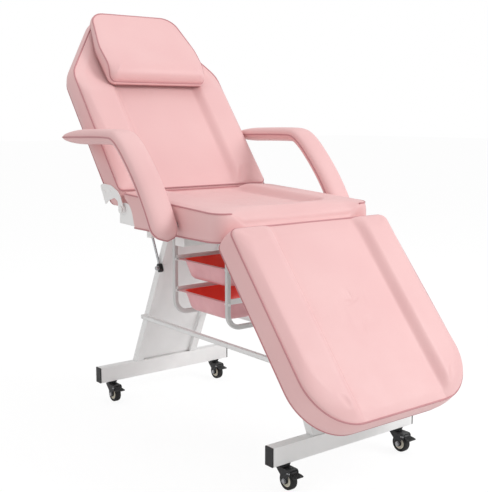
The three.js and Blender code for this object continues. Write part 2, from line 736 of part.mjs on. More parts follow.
// A closed body through two rings with the same number of points, the lower one first.
function loft(lower, upper) {
  const count = lower.length;
  const index = [];
  for (let i = 0; i < count; i += 1) {
    const next = (i + 1) % count;
    index.push(i, next, count + next, i, count + next, count + i);
    if (i > 0 && next > 0) {
      index.push(0, next, i, count, count + i, count + next);
    }
  }
  const geometry = new THREE.BufferGeometry();
  geometry.setAttribute('position', new THREE.Float32BufferAttribute([...lower, ...upper].flat(), 3));
  geometry.setIndex(index);
  return geometry;
}

// A drafted tub with a flat lip that rests on the rails at height railZ.
function tray(railZ) {
  const lipLow = railZ + RAIL.thick + GAP;
  const lipHigh = lipLow + TRAY.lip;
  const reach = RACK.deep / 2 + RAIL.thick + GAP + 0.7;
  const ys = [RACK.front + reach, RACK.rear - reach];
  const inset = (amount) => [ys[0] + amount, ys[1] - amount];
  const { wall, draft, corner, depth } = TRAY;
  const bodyInset = RAIL.wide;
  const half = RACK.x;
  const bottom = lipHigh - depth;
  const lowInset = bodyInset + draft;
  const lip = loft(ring(half, ys, 8, lipLow), ring(half, ys, 8, lipHigh));
  const tub = loft(
    ring(half - lowInset, inset(lowInset), corner, bottom),
    ring(half - bodyInset, inset(bodyInset), corner, lipLow + 1),
  );
  const hollow = loft(
    ring(half - lowInset - wall, inset(lowInset + wall), corner - wall, bottom + wall),
    ring(half - bodyInset - wall, inset(bodyInset + wall), corner - wall, lipHigh + 1),
  );
  return cut(join(lip, tub), hollow);
}

function addRack(bed) {
  bed.add(piece('rack_hoop_front', rackHoop(RACK.front, 1), whitePaint));
  bed.add(piece('rack_hoop_rear', rackHoop(RACK.rear, -1), whitePaint));
  bed.add(piece('upper_tray', tray(RACK.rails[0]), trayPlastic));
  bed.add(piece('lower_tray', tray(RACK.rails[1]), trayPlastic));
}

// ---- Casters: local origin on the floor under the swivel axis, the wheel trailing towards +Y; all four are
// then turned to trail towards the foot end ----

function casterFork() {
  const { height, wheelHalf, trail, axle, wheelRadius } = CASTER;
  const inner = wheelHalf + 2;
  const outer = inner + 2.5;
  const roof = height - 10;
  const plate = 10 - GAP;
  const head = new THREE.CylinderGeometry(17, 17, plate, 16).rotateX(Math.PI / 2);
  head.translate(0, 0, roof + plate / 2);
  const bridge = block([-outer, outer], [-15, 38], [roof - 3.4, roof + 0.5]);
  const cheek = [[-15, roof, 2], [38, roof, 2], [40, roof - 9, 5], [trail + 9, wheelRadius - 9, 9],
    [trail - 9, wheelRadius - 9, 9], [-13, roof - 10, 6]];
  const cheeks = SIDES.map((side) => plateX(cheek, [side * inner, side * outer]));
  const pedalBore = barX(PEDAL_PIN.radius + RUNNING, [-outer - 1, outer + 1], PEDAL_PIN.y, PEDAL_PIN.z, 12);
  const axleBore = barX(axle + GAP, [-outer - 1, outer + 1], trail, wheelRadius);
  return cut(join(head, bridge, ...cheeks), pedalBore, axleBore);
}

// The tread is a ring of flats, with one flat on the floor.
function casterWheel() {
  const { wheelRadius, wheelHalf, axle, facets, trail } = CASTER;
  const tread = wheelRadius / Math.cos(Math.PI / facets);
  const profile = [
    [axle + RUNNING, -wheelHalf], [tread - 3, -wheelHalf], [tread, -wheelHalf + 4],
    [tread, wheelHalf - 4], [tread - 3, wheelHalf], [axle + RUNNING, wheelHalf], [axle + RUNNING, -wheelHalf],
  ].map(([r, h]) => new THREE.Vector2(r, h));
  const wheel = new THREE.LatheGeometry(profile, facets, Math.PI / facets);
  return wheel.rotateZ(-Math.PI / 2).translate(0, trail, wheelRadius);
}

function casterAxle() {
  const { axle, trail, wheelRadius, wheelHalf } = CASTER;
  const face = wheelHalf + 4.5 + GAP;
  const shaft = barX(axle, [-face - 3, face + 1], trail, wheelRadius);
  const heads = SIDES.map((side) => barX(6.5, [side * face, side * (face + 4)], trail, wheelRadius, 6));
  return join(shaft, ...heads);
}

function brakePedal() {
  const { y, z, radius } = PEDAL_PIN;
  const blade = plateX([
    [y - 4, z - 1.6], [y + 14, z - 5.5, 2], [y + 34, z - 11.5, 1],
    [y + 34, z - 8.5, 1], [y + 15, z - 1.7, 3], [y - 3, z + 1.4],
  ], [-11, 11]);
  const toe = plateX([
    [y + 18, z - 6.7], [y + 34, z - 11.5, 1], [y + 34, z - 8.5, 1], [y + 18, z - 2.8],
  ], [-19, 19]);
  const pin = barX(radius, [-CASTER.wheelHalf - 4, CASTER.wheelHalf + 4], y, z, 12);
  return join(blade, toe, pin);
}

function addCasters(bed) {
  for (const [end, y] of [['front', -FOOT.y], ['rear', FOOT.y]]) {
    for (const side of SIDES) {
      const caster = new THREE.Group();
      caster.position.set(side * CASTER.x, y, 0);
      caster.rotation.z = Math.PI;
      const name = `${end}_${SIDE_NAMES[side]}`;
      caster.add(piece(`caster_fork_${name}`, casterFork(), blackPlastic));
      caster.add(piece(`caster_wheel_${name}`, casterWheel(), tyreRubber));
      caster.add(piece(`caster_axle_${name}`, casterAxle(), brightSteel));
      caster.add(piece(`caster_brake_${name}`, brakePedal(), blackPlastic));
      bed.add(caster);
    }
  }
}

// ---- Assembly ----

const bed = new THREE.Group();
addBase(bed);
addSeat(bed);
addBackRest(bed);
addStruts(bed);
addLegRest(bed);
addArms(bed);
addRack(bed);
addCasters(bed);

const bounds = new THREE.Box3().setFromObject(bed, true);
bed.position.y = -(bounds.min.y + bounds.max.y) / 2;

export default bed;
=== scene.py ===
"""Facial treatment bed: the upholstery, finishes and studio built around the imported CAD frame.

Lengths are in metres, in the CAD's frame: +Z up, +Y towards the head end, +X across the bed.
"""

import json
import math

import bmesh
import bpy
import numpy as np
from mathutils import Matrix, Vector


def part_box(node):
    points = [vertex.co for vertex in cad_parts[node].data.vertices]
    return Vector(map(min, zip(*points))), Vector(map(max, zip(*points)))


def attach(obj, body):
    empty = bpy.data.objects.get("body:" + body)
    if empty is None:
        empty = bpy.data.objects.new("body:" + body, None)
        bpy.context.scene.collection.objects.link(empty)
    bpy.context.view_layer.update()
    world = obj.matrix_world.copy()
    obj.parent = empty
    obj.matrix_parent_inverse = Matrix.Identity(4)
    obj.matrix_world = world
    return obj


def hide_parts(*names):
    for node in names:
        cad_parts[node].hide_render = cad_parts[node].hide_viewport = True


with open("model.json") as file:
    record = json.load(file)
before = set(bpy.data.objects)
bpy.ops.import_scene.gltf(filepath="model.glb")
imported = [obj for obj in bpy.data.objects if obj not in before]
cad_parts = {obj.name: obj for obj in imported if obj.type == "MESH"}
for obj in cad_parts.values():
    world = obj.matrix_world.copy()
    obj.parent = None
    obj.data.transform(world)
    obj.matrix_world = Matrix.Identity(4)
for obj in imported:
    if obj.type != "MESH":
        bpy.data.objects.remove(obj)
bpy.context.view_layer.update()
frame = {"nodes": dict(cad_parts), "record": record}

MM = 0.001
SIDES = {"left": -1, "right": 1}
ENDS = ("front", "rear")

# ---- Driving sizes of the upholstery ----

PIPING = 2.4 * MM  # radius of the piping cord
GROOVE = 1.2 * MM  # how deep the piping lies between the cover's panels
BOLSTER = 20 * MM  # how far the bolsters stand over the channel and the seams
CHANNEL_HALF = 150 * MM
SLOPE = 32 * MM  # from the crease up to the top of the bolster
SEAT_RISE = 26 * MM  # how much higher the seat's top is at the back rest than at the front
LOOP_POINTS = 320  # round a cushion
EDGE_ROLL = 42 * MM  # from the seam in to where the top is level
FOLD = 10 * MM  # how far the cover reaches down past the board
SKIRT = 9 * MM  # and how far in under it


# ---- Numbers ----


def in_mm(*points):
    """The same points, given in millimetres, in metres."""
    return [tuple(value * MM for value in point) for point in points]


def smooth(low, high, value):
    """0 up to low, 1 from high on, and a soft step between them."""
    t = np.clip((value - low) / (high - low), 0, 1)
    return t * t * (3 - 2 * t)


def quarter_round(distance, radius):
    """0 at the edge, 1 from radius inwards, with the profile of a quarter circle."""
    t = np.clip(np.asarray(distance) / radius, 0, 1)
    return np.sqrt(1 - (1 - t) ** 2)


def corner_arc(before, corner, after, steps=16):
    """Points along the true arc that rounds a (u, v, radius) corner between its neighbours."""
    radius = corner[2]
    middle = np.array(corner[:2])
    back = np.array(before[:2]) - middle
    on = np.array(after[:2]) - middle
    back /= np.linalg.norm(back)
    on /= np.linalg.norm(on)
    half = math.acos(np.clip(back @ on, -1, 1)) / 2
    reach = radius / math.tan(half)
    centre = middle + (back + on) / np.linalg.norm(back + on) * radius / math.sin(half)
    start = middle + back * reach - centre
    stop = middle + on * reach - centre
    turn = math.atan2(start[0] * stop[1] - start[1] * stop[0], start @ stop)
    points = []
    for k in range(steps + 1):
        c, s = math.cos(turn * k / steps), math.sin(turn * k / steps)
        points.append(centre + (c * start[0] - s * start[1], s * start[0] + c * start[1]))
    return points


def rounded_polygon(corners, count):
    """count points, evenly spaced, round a polygon of (u, v, radius) corners."""
    path = []
    for i, corner in enumerate(corners):
        path += corner_arc(corners[i - 1], corner, corners[(i + 1) % len(corners)])
    return resample(np.array(path), count, closed=True)


def bent_path(corners, count):
    """An open path round (a, b, radius) corners; its first and last corners are its ends."""
    path = [np.array(corners[0][:2])]
    for before, corner, after in zip(corners, corners[1:], corners[2:]):
        path += corner_arc(before, corner, after)
    path.append(np.array(corners[-1][:2]))
    return resample(np.array(path), count)


def run_along(path):
    """How far along the path each of its points is."""
    steps = np.linalg.norm(np.diff(path, axis=0), axis=1)
    return np.concatenate([[0], np.cumsum(steps)])


def resample(path, count, closed=False):
    """The same path with count points at equal distances along it."""
    if closed:
        path = np.vstack([path, path[:1]])
    run = run_along(path)
    at = np.linspace(0, run[-1], count, endpoint=not closed)
    return np.column_stack([np.interp(at, run, path[:, k]) for k in range(path.shape[1])])


def directions(path, closed=False):
    """Unit vectors along a path."""
    if closed:
        ahead = np.roll(path, -1, axis=0) - np.roll(path, 1, axis=0)
    else:
        ahead = np.gradient(path, axis=0)
    return ahead / np.linalg.norm(ahead, axis=1)[:, None]


def loop_normals(loop):
    """Unit normals that point out of a counter-clockwise loop."""
    ahead = directions(loop, closed=True)
    return np.column_stack([ahead[:, 1], -ahead[:, 0]])


def edge_distance(points, loop):
    """How far each point is from the loop."""
    start = loop[None]
    edge = np.roll(loop, -1, axis=0)[None] - start
    rel = points[:, None] - start
    t = np.clip((rel * edge).sum(2) / (edge**2).sum(2), 0, 1)
    return np.linalg.norm(rel - t[..., None] * edge, axis=2).min(1)


# ---- Mesh helpers ----


def new_object(name, mesh, body, slot, *materials):
    """A smooth piece that rides on a body and wears the materials it is given; slot is not used."""
    made = bpy.data.objects.new(name, mesh)
    bpy.context.scene.collection.objects.link(made)
    for material in materials:
        mesh.materials.append(material)
    for polygon in mesh.polygons:
        polygon.use_smooth = True
    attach(made, body)
    return made


def bridge(bm, low, high):
    """Quads between two loops of vertices."""
    count = len(low)
    for i in range(count):
        j = (i + 1) % count
        bm.faces.new((low[i], low[j], high[j], high[i]))


def best_turned(last, first):
    """The loop first, turned by whole steps until its vertices lie nearest to those of last."""
    sides = len(first)

    def gap(shift):
        return sum((last[k].co - first[(k + shift) % sides].co).length for k in range(sides))

    shift = min(range(sides), key=gap)
    return first[shift:] + first[:shift]


def zipper_cap(bm, row):
    """Closes a loop with quads between its two halves, so that no vertex gets many edges."""
    count = len(row)
    for i in range(count // 2 - 1):
        bm.faces.new((row[i], row[i + 1], row[count - 2 - i], row[count - 1 - i]))


def finished_mesh(bm, name):
    bmesh.ops.recalc_face_normals(bm, faces=bm.faces)
    mesh = bpy.data.meshes.new(name)
    bm.to_mesh(mesh)
    bm.free()
    return mesh


SEAM_CREASE = 0.7


def loft_mesh(name, rows, creased=()):
    """A closed skin through rows of points, all rows closed loops of the same length.
    The rows numbered in creased keep a crisp edge when the mesh is subdivided."""
    bm = bmesh.new()
    crease = bm.edges.layers.float.new("crease_edge")
    made = [[bm.verts.new(point) for point in row] for row in rows]
    for low, high in zip(made, made[1:]):
        bridge(bm, low, high)
    zipper_cap(bm, made[0])
    zipper_cap(bm, made[-1])
    for number in creased:
        row = made[number]
        for start, stop in zip(row, row[1:] + row[:1]):
            bm.edges.get((start, stop))[crease] = SEAM_CREASE
    return finished_mesh(bm, name)


def subdivide(piece):
    modifier = piece.modifiers.new("Subdivision", "SUBSURF")
    modifier.levels = 1
    modifier.render_levels = 1
    modifier.use_limit_surface = False


def bevel(piece, width, angle=35):
    """Rounds the edges that are sharper than angle degrees."""
    modifier = piece.modifiers.new("Bevel", "BEVEL")
    modifier.width = width
    modifier.segments = 2
    modifier.limit_method = "ANGLE"
    modifier.angle_limit = math.radians(angle)
    modifier.harden_normals = True


TUBE_START = (0.31, 0.17, 0.93)  # a direction that no tube starts along


def tube(name, path, radius, body, slot, material, closed=False, sides=8):
    """A round cord along a path of points."""
    path = np.asarray(path, float)
    ahead = directions(path, closed)
    normal = np.cross(ahead[0], TUBE_START)
    bm = bmesh.new()
    rings = []
    for point, direction in zip(path, ahead):
        normal = normal - direction * (normal @ direction)
        normal /= np.linalg.norm(normal)
        across = np.cross(direction, normal)
        angles = [2 * math.pi * k / sides for k in range(sides)]
        ring = [point + radius * (math.cos(a) * normal + math.sin(a) * across) for a in angles]
        rings.append([bm.verts.new(p) for p in ring])
    for low, high in zip(rings, rings[1:]):
        bridge(bm, low, high)
    if closed:
        bridge(bm, rings[-1], best_turned(rings[-1], rings[0]))
    else:
        bm.faces.new(rings[0][::-1])
        bm.faces.new(rings[-1])
    return new_object(name, finished_mesh(bm, name), body, slot, material)


def lathe(name, profile, centre, axis, body, slot, material, steps=56):
    """A turned piece: a closed section of (radius, along the axis) points spun round the axis."""
    axis = Vector(axis)
    first = axis.orthogonal().normalized()
    second = axis.cross(first)
    bm = bmesh.new()
    rings = []
    for radius, along in profile:
        ring = []
        for k in range(steps):
            angle = 2 * math.pi * k / steps
            out = first * math.cos(angle) + second * math.sin(angle)
            ring.append(bm.verts.new(Vector(centre) + axis * along + out * radius))
        rings.append(ring)
    for low, high in zip(rings, rings[1:] + rings[:1]):
        bridge(bm, low, high)
    bmesh.ops.remove_doubles(bm, verts=bm.verts, dist=0.001 * MM)
    piece = new_object(name, finished_mesh(bm, name), body, slot, material)
    bevel(piece, 0.4 * MM, angle=30)
    return piece


def side_plate(name, outline, xs, body, slot, material, edge=0.8 * MM):
    """A flat plate square to X, from its (y, z) outline, with softened edges."""
    bm = bmesh.new()
    first, second = [[bm.verts.new((x, y, z)) for y, z in outline] for x in xs]
    bm.faces.new(first)
    bm.faces.new(second[::-1])
    bridge(bm, first, second)
    piece = new_object(name, finished_mesh(bm, name), body, slot, material)
    bevel(piece, edge)
    return piece


# ---- Where a cushion lies ----


class Face:
    """A cushion's own axes, read from its CAD solid: u across, v along the face and w out of it, with
    v = 0 at its lower edge and w = 0 on its face."""

    def __init__(self, node, turn=None):
        data = frame["nodes"][node].data
        self.turn = self.tilt(data) if turn is None else turn
        points = np.array([v.co for v in data.vertices]) @ np.array(self.turn.to_3x3())
        self.half = points[:, 0].max()
        self.length = np.ptp(points[:, 1])
        self.thick = np.ptp(points[:, 2])
        self.low = points[:, 1].min()
        self.high = points[:, 2].max()

    @staticmethod
    def tilt(data):
        """The turn about X that lays the largest face that looks up."""
        areas = {}
        for polygon in data.polygons:
            normal = tuple(round(c, 2) for c in polygon.normal)
            if normal[2] > 0.2:
                areas[normal] = areas.get(normal, 0) + polygon.area
        largest = Vector(max(areas, key=areas.get))
        normal = next(p.normal for p in data.polygons if (p.normal - largest).length < 0.02)
        return Matrix.Rotation(math.atan2(-normal.y, normal.z), 4, "X")

    def place(self, points):
        """Row-frame points from an array of (u, v, w)."""
        local = np.asarray(points, float) + (0, self.low, self.high)
        return local @ np.array(self.turn.to_3x3()).T


# ---- Materials ----


class Shader:
    """A material's nodes: a Principled surface, and object coordinates to drive its patterns."""

    def __init__(self, name):
        self.material = bpy.data.materials.new(name)
        self.material.use_nodes = True
        self.nodes = self.material.node_tree.nodes
        self.links = self.material.node_tree.links
        self.surface = self.nodes["Principled BSDF"]
        self.position = self.add("ShaderNodeTexCoord").outputs["Object"]

    def add(self, kind, **settings):
        node = self.nodes.new(kind)
        for key, value in settings.items():
            setattr(node, key, value)
        return node

    def join(self, source, target):
        self.links.new(source, target)

    def noise(self, size, detail=4):
        """Noise with features about size metres across, between 0 and 1."""
        node = self.add("ShaderNodeTexNoise")
        node.inputs["Scale"].default_value = 1 / size
        node.inputs["Detail"].default_value = detail
        node.inputs["Roughness"].default_value = 0.55
        self.join(self.position, node.inputs["Vector"])
        return node.outputs["Fac"]

    def cells(self, size, feature="DISTANCE_TO_EDGE"):
        """A pattern of cells about size metres across."""
        node = self.add("ShaderNodeTexVoronoi", feature=feature)
        node.inputs["Scale"].default_value = 1 / size
        self.join(self.position, node.inputs["Vector"])
        return node.outputs["Distance"]

    def ramp(self, source, *stops):
        """Maps a value through (position, colour or grey) stops."""
        node = self.add("ShaderNodeValToRGB")
        elements = node.color_ramp.elements
        while len(elements) < len(stops):
            elements.new(0.5)
        for element, (position, value) in zip(elements, stops):
            element.position = position
            element.color = rgba(value)
        self.join(source, node.inputs["Fac"])
        return node.outputs["Color"]

    def math(self, operation, first, second):
        node = self.add("ShaderNodeMath", operation=operation)
        for socket, value in zip(node.inputs, (first, second)):
            if isinstance(value, (int, float)):
                socket.default_value = value
            else:
                self.join(value, socket)
        return node.outputs["Value"]

    def mix(self, factor, first, second):
        """A colour between the first and the second."""
        node = self.add("ShaderNodeMix", data_type="RGBA")
        for socket, value in zip((node.inputs[0], node.inputs[6], node.inputs[7]), (factor, first, second)):
            if isinstance(value, bpy.types.NodeSocket):
                self.join(value, socket)
            else:
                socket.default_value = value if socket.type == "VALUE" else rgba(value)
        return node.outputs[2]

    def bump(self, height, depth, strength):
        """Adds relief of depth metres to the surface; calls stack."""
        node = self.add("ShaderNodeBump")
        node.inputs["Strength"].default_value = strength
        node.inputs["Distance"].default_value = depth
        self.join(height, node.inputs["Height"])
        socket = self.surface.inputs["Normal"]
        if socket.is_linked:
            self.join(socket.links[0].from_socket, node.inputs["Normal"])
        self.join(node.outputs["Normal"], socket)

    def set(self, **values):
        for key, value in values.items():
            socket = self.surface.inputs[key.replace("_", " ")]
            if isinstance(value, bpy.types.NodeSocket):
                self.join(value, socket)
            else:
                socket.default_value = rgba(value) if socket.type == "RGBA" else value

    def edges(self):
        """0 on flat and hollow places, 1 on outer edges."""
        pointiness = self.add("ShaderNodeNewGeometry").outputs["Pointiness"]
        return self.ramp(pointiness, (0.49, 0.0), (0.56, 1.0))


def rgba(value):
    if isinstance(value, (int, float)):
        return (value, value, value, 1)
    return (*value[:3], 1)


def linear(level):
    """Linear light from an 8-bit sRGB level."""
    value = level / 255
    return value / 12.92 if value <= 0.04045 else ((value + 0.055) / 1.055) ** 2.4


def srgb(red, green, blue):
    return tuple(linear(level) for level in (red, green, blue))


PINK = srgb(238, 193, 192)
PINK_DEEP = srgb(230, 177, 178)


def vinyl(name, light=PINK, deep=PINK_DEEP):
    """Soft upholstery vinyl: pebbled leather grain, faint colour drift, a dull sheen."""
    s = Shader(name)
    drift = s.noise(160 * MM, detail=1)
    colour = s.mix(s.ramp(drift, (0.3, 0.0), (0.75, 0.35)), light, deep)
    pores = s.ramp(s.cells(1.3 * MM), (0.0, 0.0), (0.12, 1.0))
    colour = s.mix(s.ramp(pores, (0.0, 0.1), (0.5, 0.0)), colour, tuple(c * 0.8 for c in deep))
    s.set(Base_Color=s.mix(0.04, colour, s.edges()))
    s.set(Roughness=s.ramp(s.noise(25 * MM), (0.3, 0.42), (0.75, 0.54)))
    s.set(Sheen_Weight=0.15, Sheen_Roughness=0.4, Specular_IOR_Level=0.45)
    s.bump(pores, 0.08 * MM, 0.5)
    s.bump(s.noise(2.5 * MM), 0.15 * MM, 0.4)
    s.bump(s.noise(60 * MM, detail=1), 0.8 * MM, 0.2)
    return s.material


def powder_coat(name, grey=244):
    """Powder coat with a fine orange peel, a little lighter on its edges."""
    s = Shader(name)
    dark = srgb(grey - 3, grey - 3, grey - 4)
    light = srgb(grey + 3, grey + 3, grey + 2)
    tone = s.ramp(s.noise(60 * MM), (0.3, dark), (0.7, light))
    s.set(Base_Color=s.mix(s.math("MULTIPLY", s.edges(), 0.25), tone, srgb(254, 254, 254)))
    s.set(Roughness=s.ramp(s.noise(10 * MM), (0.3, 0.28), (0.7, 0.38)), Coat_Weight=0.15)
    s.bump(s.noise(1.8 * MM, detail=2), 0.05 * MM, 0.5)
    return s.material


def moulded(name, colour, deep, glow=0.0):
    """Moulded plastic: satin, with faint flow marks; glow is painted light, an emission that brightens a
    shaded inside where light would come through the wall.
    """
    s = Shader(name)
    flow = s.noise(50 * MM, detail=3)
    tone = s.mix(s.ramp(flow, (0.35, 0.0), (0.7, 1.0)), colour, deep)
    # The emission is painted light; the plastic is no lamp.
    s.set(Base_Color=tone, Emission_Color=tone, Emission_Strength=glow)
    s.set(Roughness=s.ramp(s.noise(6 * MM), (0.3, 0.3), (0.7, 0.42)))
    s.set(Subsurface_Weight=0.05, Subsurface_Scale=4 * MM)
    s.bump(s.noise(0.9 * MM, detail=2), 0.03 * MM, 0.5)
    return s.material


def black_nylon(name):
    """Glass-filled nylon: black, finely pitted, scuffed lighter along its edges."""
    s = Shader(name)
    s.set(Base_Color=s.mix(s.math("MULTIPLY", s.edges(), 0.4), srgb(13, 13, 14), srgb(64, 64, 66)))
    s.set(Roughness=s.ramp(s.noise(4 * MM), (0.3, 0.34), (0.7, 0.5)))
    s.bump(s.cells(0.7 * MM, "F1"), 0.05 * MM, 0.4)
    return s.material


def rubber(name):
    """Tyre rubber: near black, dull and slightly mottled."""
    s = Shader(name)
    s.set(Base_Color=s.ramp(s.noise(8 * MM), (0.3, srgb(9, 9, 10)), (0.8, srgb(20, 20, 21))))
    s.set(Roughness=s.ramp(s.noise(3 * MM), (0.3, 0.4), (0.7, 0.6)))
    s.bump(s.noise(1.5 * MM), 0.08 * MM, 0.5)
    return s.material


def zinc_steel(name):
    """Bright zinc plate with a cloudy shine."""
    s = Shader(name)
    s.set(Base_Color=s.ramp(s.noise(5 * MM), (0.3, srgb(170, 172, 176)), (0.7, srgb(205, 206, 208))))
    s.set(Metallic=1.0, Roughness=s.ramp(s.noise(2 * MM), (0.3, 0.22), (0.7, 0.4)))
    s.bump(s.noise(0.8 * MM), 0.03 * MM, 0.5)
    return s.material


def dust_cloth(name):
    """The pale non-woven cloth stapled under each cushion's board."""
    s = Shader(name)
    threads = s.noise(1.2 * MM, detail=3)
    s.set(Base_Color=s.ramp(threads, (0.3, srgb(196, 194, 192)), (0.7, srgb(220, 218, 216))))
    s.set(Roughness=s.ramp(threads, (0.3, 0.8), (0.7, 0.95)))
    s.bump(threads, 0.15 * MM, 0.6)
    s.bump(s.noise(70 * MM, detail=2), 1.5 * MM, 0.4)
    return s.material


RIBS_PER_METRE = 160


def webbing(name):
    """Woven elastic with ribs along the band."""
    s = Shader(name)
    wave = s.add("ShaderNodeTexWave", wave_type="BANDS", bands_direction="X")
    wave.inputs["Scale"].default_value = RIBS_PER_METRE
    s.join(s.position, wave.inputs["Vector"])
    s.set(Base_Color=s.ramp(wave.outputs["Fac"], (0.2, srgb(196, 140, 144)), (0.8, srgb(226, 178, 180))))
    s.set(Roughness=0.85)
    s.bump(wave.outputs["Fac"], 0.3 * MM, 0.6)
    return s.material


PINK_VINYL = vinyl("pink_vinyl")
# The piping is the same pink vinyl as the cover; its darker colour is painted shade, the dark line that
# shade draws along each piped seam.
SHADED_PIPING_VINYL = vinyl("piping_vinyl_painted_shade", srgb(198, 132, 136), srgb(172, 106, 112))
WHITE_PAINT = powder_coat("white_powder_coat")
RACK_PAINT = powder_coat("grey_powder_coat", grey=208)
TRAY_PINK = moulded("tray_pink", srgb(240, 182, 186), srgb(232, 170, 175))
# The inside of a tray is the same pink plastic: its deep red is painted shade, with a faint painted glow.
TRAY_INSIDE_PAINTED_SHADE = moulded("tray_inside_painted_shade", srgb(240, 72, 54), srgb(228, 58, 44), glow=0.1)
BLACK = black_nylon("black_nylon")
TYRE = rubber("tyre_rubber")
HUB_CREAM = moulded("hub_cream", srgb(232, 227, 212), srgb(222, 214, 196))
STEEL = zinc_steel("zinc_steel")
DUST_CLOTH = dust_cloth("dust_cloth")
ELASTIC = webbing("elastic")

# The record's slot and the material, for pieces made anew.
PADDED = ("pink_vinyl", PINK_VINYL)
PIPED = ("pink_vinyl", SHADED_PIPING_VINYL)
PAINTED = ("white_paint", WHITE_PAINT)
NYLON = ("black_plastic", BLACK)
PLATED = ("bright_steel", STEEL)

SLOT_MATERIALS = {
    "pink_vinyl": PINK_VINYL, "tray_plastic": TRAY_PINK, "white_paint": WHITE_PAINT, "black_plastic": BLACK,
    "tyre": TYRE, "plywood": DUST_CLOTH, "elastic": ELASTIC, "bright_steel": STEEL,
}


def dress_cad_nodes():
    """Gives every CAD node its finish, welds its facets and rounds its edges."""
    slots = {row["node"]: row["material_slot"] for row in frame["record"]["subparts"]}
    for name, node in frame["nodes"].items():
        node.data.materials.clear()
        painted = name.startswith("back_hinge_pin")
        node.data.materials.append(WHITE_PAINT if painted else SLOT_MATERIALS[slots[name]])
        weld = node.modifiers.new("Weld", "WELD")
        weld.merge_threshold = 0.01 * MM
        bevel(node, 1.0 * MM)


# ---- Cushions ----


def channel_straight(u):
    """How far a point is outside a channel that runs the cushion's whole length."""
    return np.abs(u) - CHANNEL_HALF


def channel_with_front(u, v):
    """The same for a channel that stops at a bolster across the front, with rounded corners."""
    front = 72 * MM
    corner = 40 * MM
    du = np.abs(u) - CHANNEL_HALF + corner
    dv = front - v + corner
    outside = np.hypot(np.maximum(du, 0), np.maximum(dv, 0))
    return outside + np.minimum(np.maximum(du, dv), 0) - corner


def bolster_height(away, edge):
    """Height over the seam: bolsters round a sunken, slightly crowned channel.
    away: how far the point is outside the channel; edge: 0 at the seam, 1 away from it."""
    rise = np.sin(np.clip((away + 6 * MM) / SLOPE, 0, 1) * math.pi / 2) ** 1.6
    crown = np.clip(-away / CHANNEL_HALF, 0, 1)
    lean = 0.86 + 0.14 * (1 - smooth(20 * MM, 110 * MM, away))
    return edge * (BOLSTER * rise * lean + 3.5 * MM * np.sin(crown * math.pi / 2))


SIDE_ROWS = 9
TOP_SHARES = np.concatenate([[0.992, 0.98, 0.965, 0.947], np.linspace(0.925, 0.1, 48)])


def cushion_rows(outline, seam, base, top, bulge=4 * MM, skirt=0.0):
    """Rows of (u, v, w) from under the cushion, up its side and over its top.
    outline: the plan; seam(u, v): height of the top seam; base: height of the bottom seam;
    top(u, v, distance from the edge, height of the seam); bulge: how far the side stands out, one value
    or one for each point of the outline; skirt: how far the underside lies above the base."""
    bulge = np.broadcast_to(bulge, len(outline))[:, None]
    normals = loop_normals(outline)
    centre = (outline.min(0) + outline.max(0)) / 2

    def level(inset, height):
        ring = outline - normals * inset
        return np.column_stack([ring, np.full(len(ring), height)])

    rows = []
    roof = base + skirt
    for share in (0.1, 0.4, 0.7):
        ring = centre + (outline - centre) * share
        rows.append(np.column_stack([ring, np.full(len(ring), roof)]))
    rows.append(level(SKIRT, roof))
    if skirt:
        rows.append(level(SKIRT, base - 1.5 * MM))
    rows.append(level(3 * MM, base - 1.5 * MM))
    bottom_seam = len(rows)
    seam_height = seam(outline[:, 0], outline[:, 1])
    for k in range(SIDE_ROWS + 1):
        t = k / SIDE_ROWS
        out = bulge * math.sin(math.pi * t) ** 0.8 if 0 < t < 1 else -GROOVE
        ring = outline + normals * out
        rows.append(np.column_stack([ring, base + t * (seam_height - base)]))
    top_seam = len(rows) - 1
    for share in TOP_SHARES:
        ring = centre + (outline - centre) * share
        distance = edge_distance(ring, outline)
        u, v = ring.T
        rows.append(np.column_stack([ring, top(u, v, distance, seam(u, v))]))
    return rows, bottom_seam, top_seam


PUFF_FRAMES = 14
PUFF_PRESSURE = 3.0
MOST_PUFF = 3 * MM


def puff(piece, pinned, cap):
    """Blows the cushion up as cloth between its pinned seams; no point moves further than cap."""
    mesh = piece.data
    start = np.array([v.co for v in mesh.vertices])
    group = piece.vertex_groups.new(name="seams")
    group.add([int(i) for i in pinned], 1.0, "REPLACE")
    modifier = piece.modifiers.new("Cloth", "CLOTH")
    cloth = modifier.settings
    cloth.vertex_group_mass = "seams"
    cloth.use_pressure = True
    cloth.uniform_pressure_force = PUFF_PRESSURE
    cloth.effector_weights.gravity = 0
    cloth.tension_stiffness = 12
    cloth.compression_stiffness = 12
    cloth.bending_stiffness = 2
    cloth.quality = 4
    modifier.collision_settings.use_collision = False
    modifier.point_cache.frame_start = 1
    modifier.point_cache.frame_end = PUFF_FRAMES
    scene = bpy.context.scene
    for number in range(1, PUFF_FRAMES + 1):
        scene.frame_set(number)
    evaluated = piece.evaluated_get(bpy.context.evaluated_depsgraph_get())
    moved = np.array([v.co for v in evaluated.data.vertices])
    piece.modifiers.remove(modifier)
    piece.vertex_groups.remove(group)
    shift = moved - start
    length = np.linalg.norm(shift, axis=1)[:, None]
    shift *= np.minimum(1, cap / np.maximum(length, 1e-9))
    mesh.vertices.foreach_set("co", (start + shift).astype(np.float32).ravel())
    mesh.update()
    scene.frame_set(1)


def piping(name, path, body, closed=True):
    return tube(name, path, PIPING, body, *PIPED, closed=closed)


def make_cushion(name, body, face, rows, seams, reshape=None, cap=MOST_PUFF):
    """The padded piece, in the CAD's place. seams are its bottom and top seam rows."""
    count = len(rows[0])
    if reshape:
        rows = [reshape(row) for row in rows]
    placed = [face.place(row) for row in rows]
    mesh = loft_mesh(name, placed, creased=seams)
    piece = new_object(name, mesh, body, *PADDED)
    held = list(range((seams[0] + 1) * count))
    held += range(seams[1] * count, (seams[1] + 1) * count)
    puff(piece, held, cap)
    subdivide(piece)
    return piece, placed


def mirrored_corners(*right):
    """Closes a plan from its right-hand corners, listed from the low end to the high end."""
    return [*right, *[(-u, v, radius) for u, v, radius in reversed(right)]]


def level_seam(height):
    return lambda u, v: np.full(len(v), height)


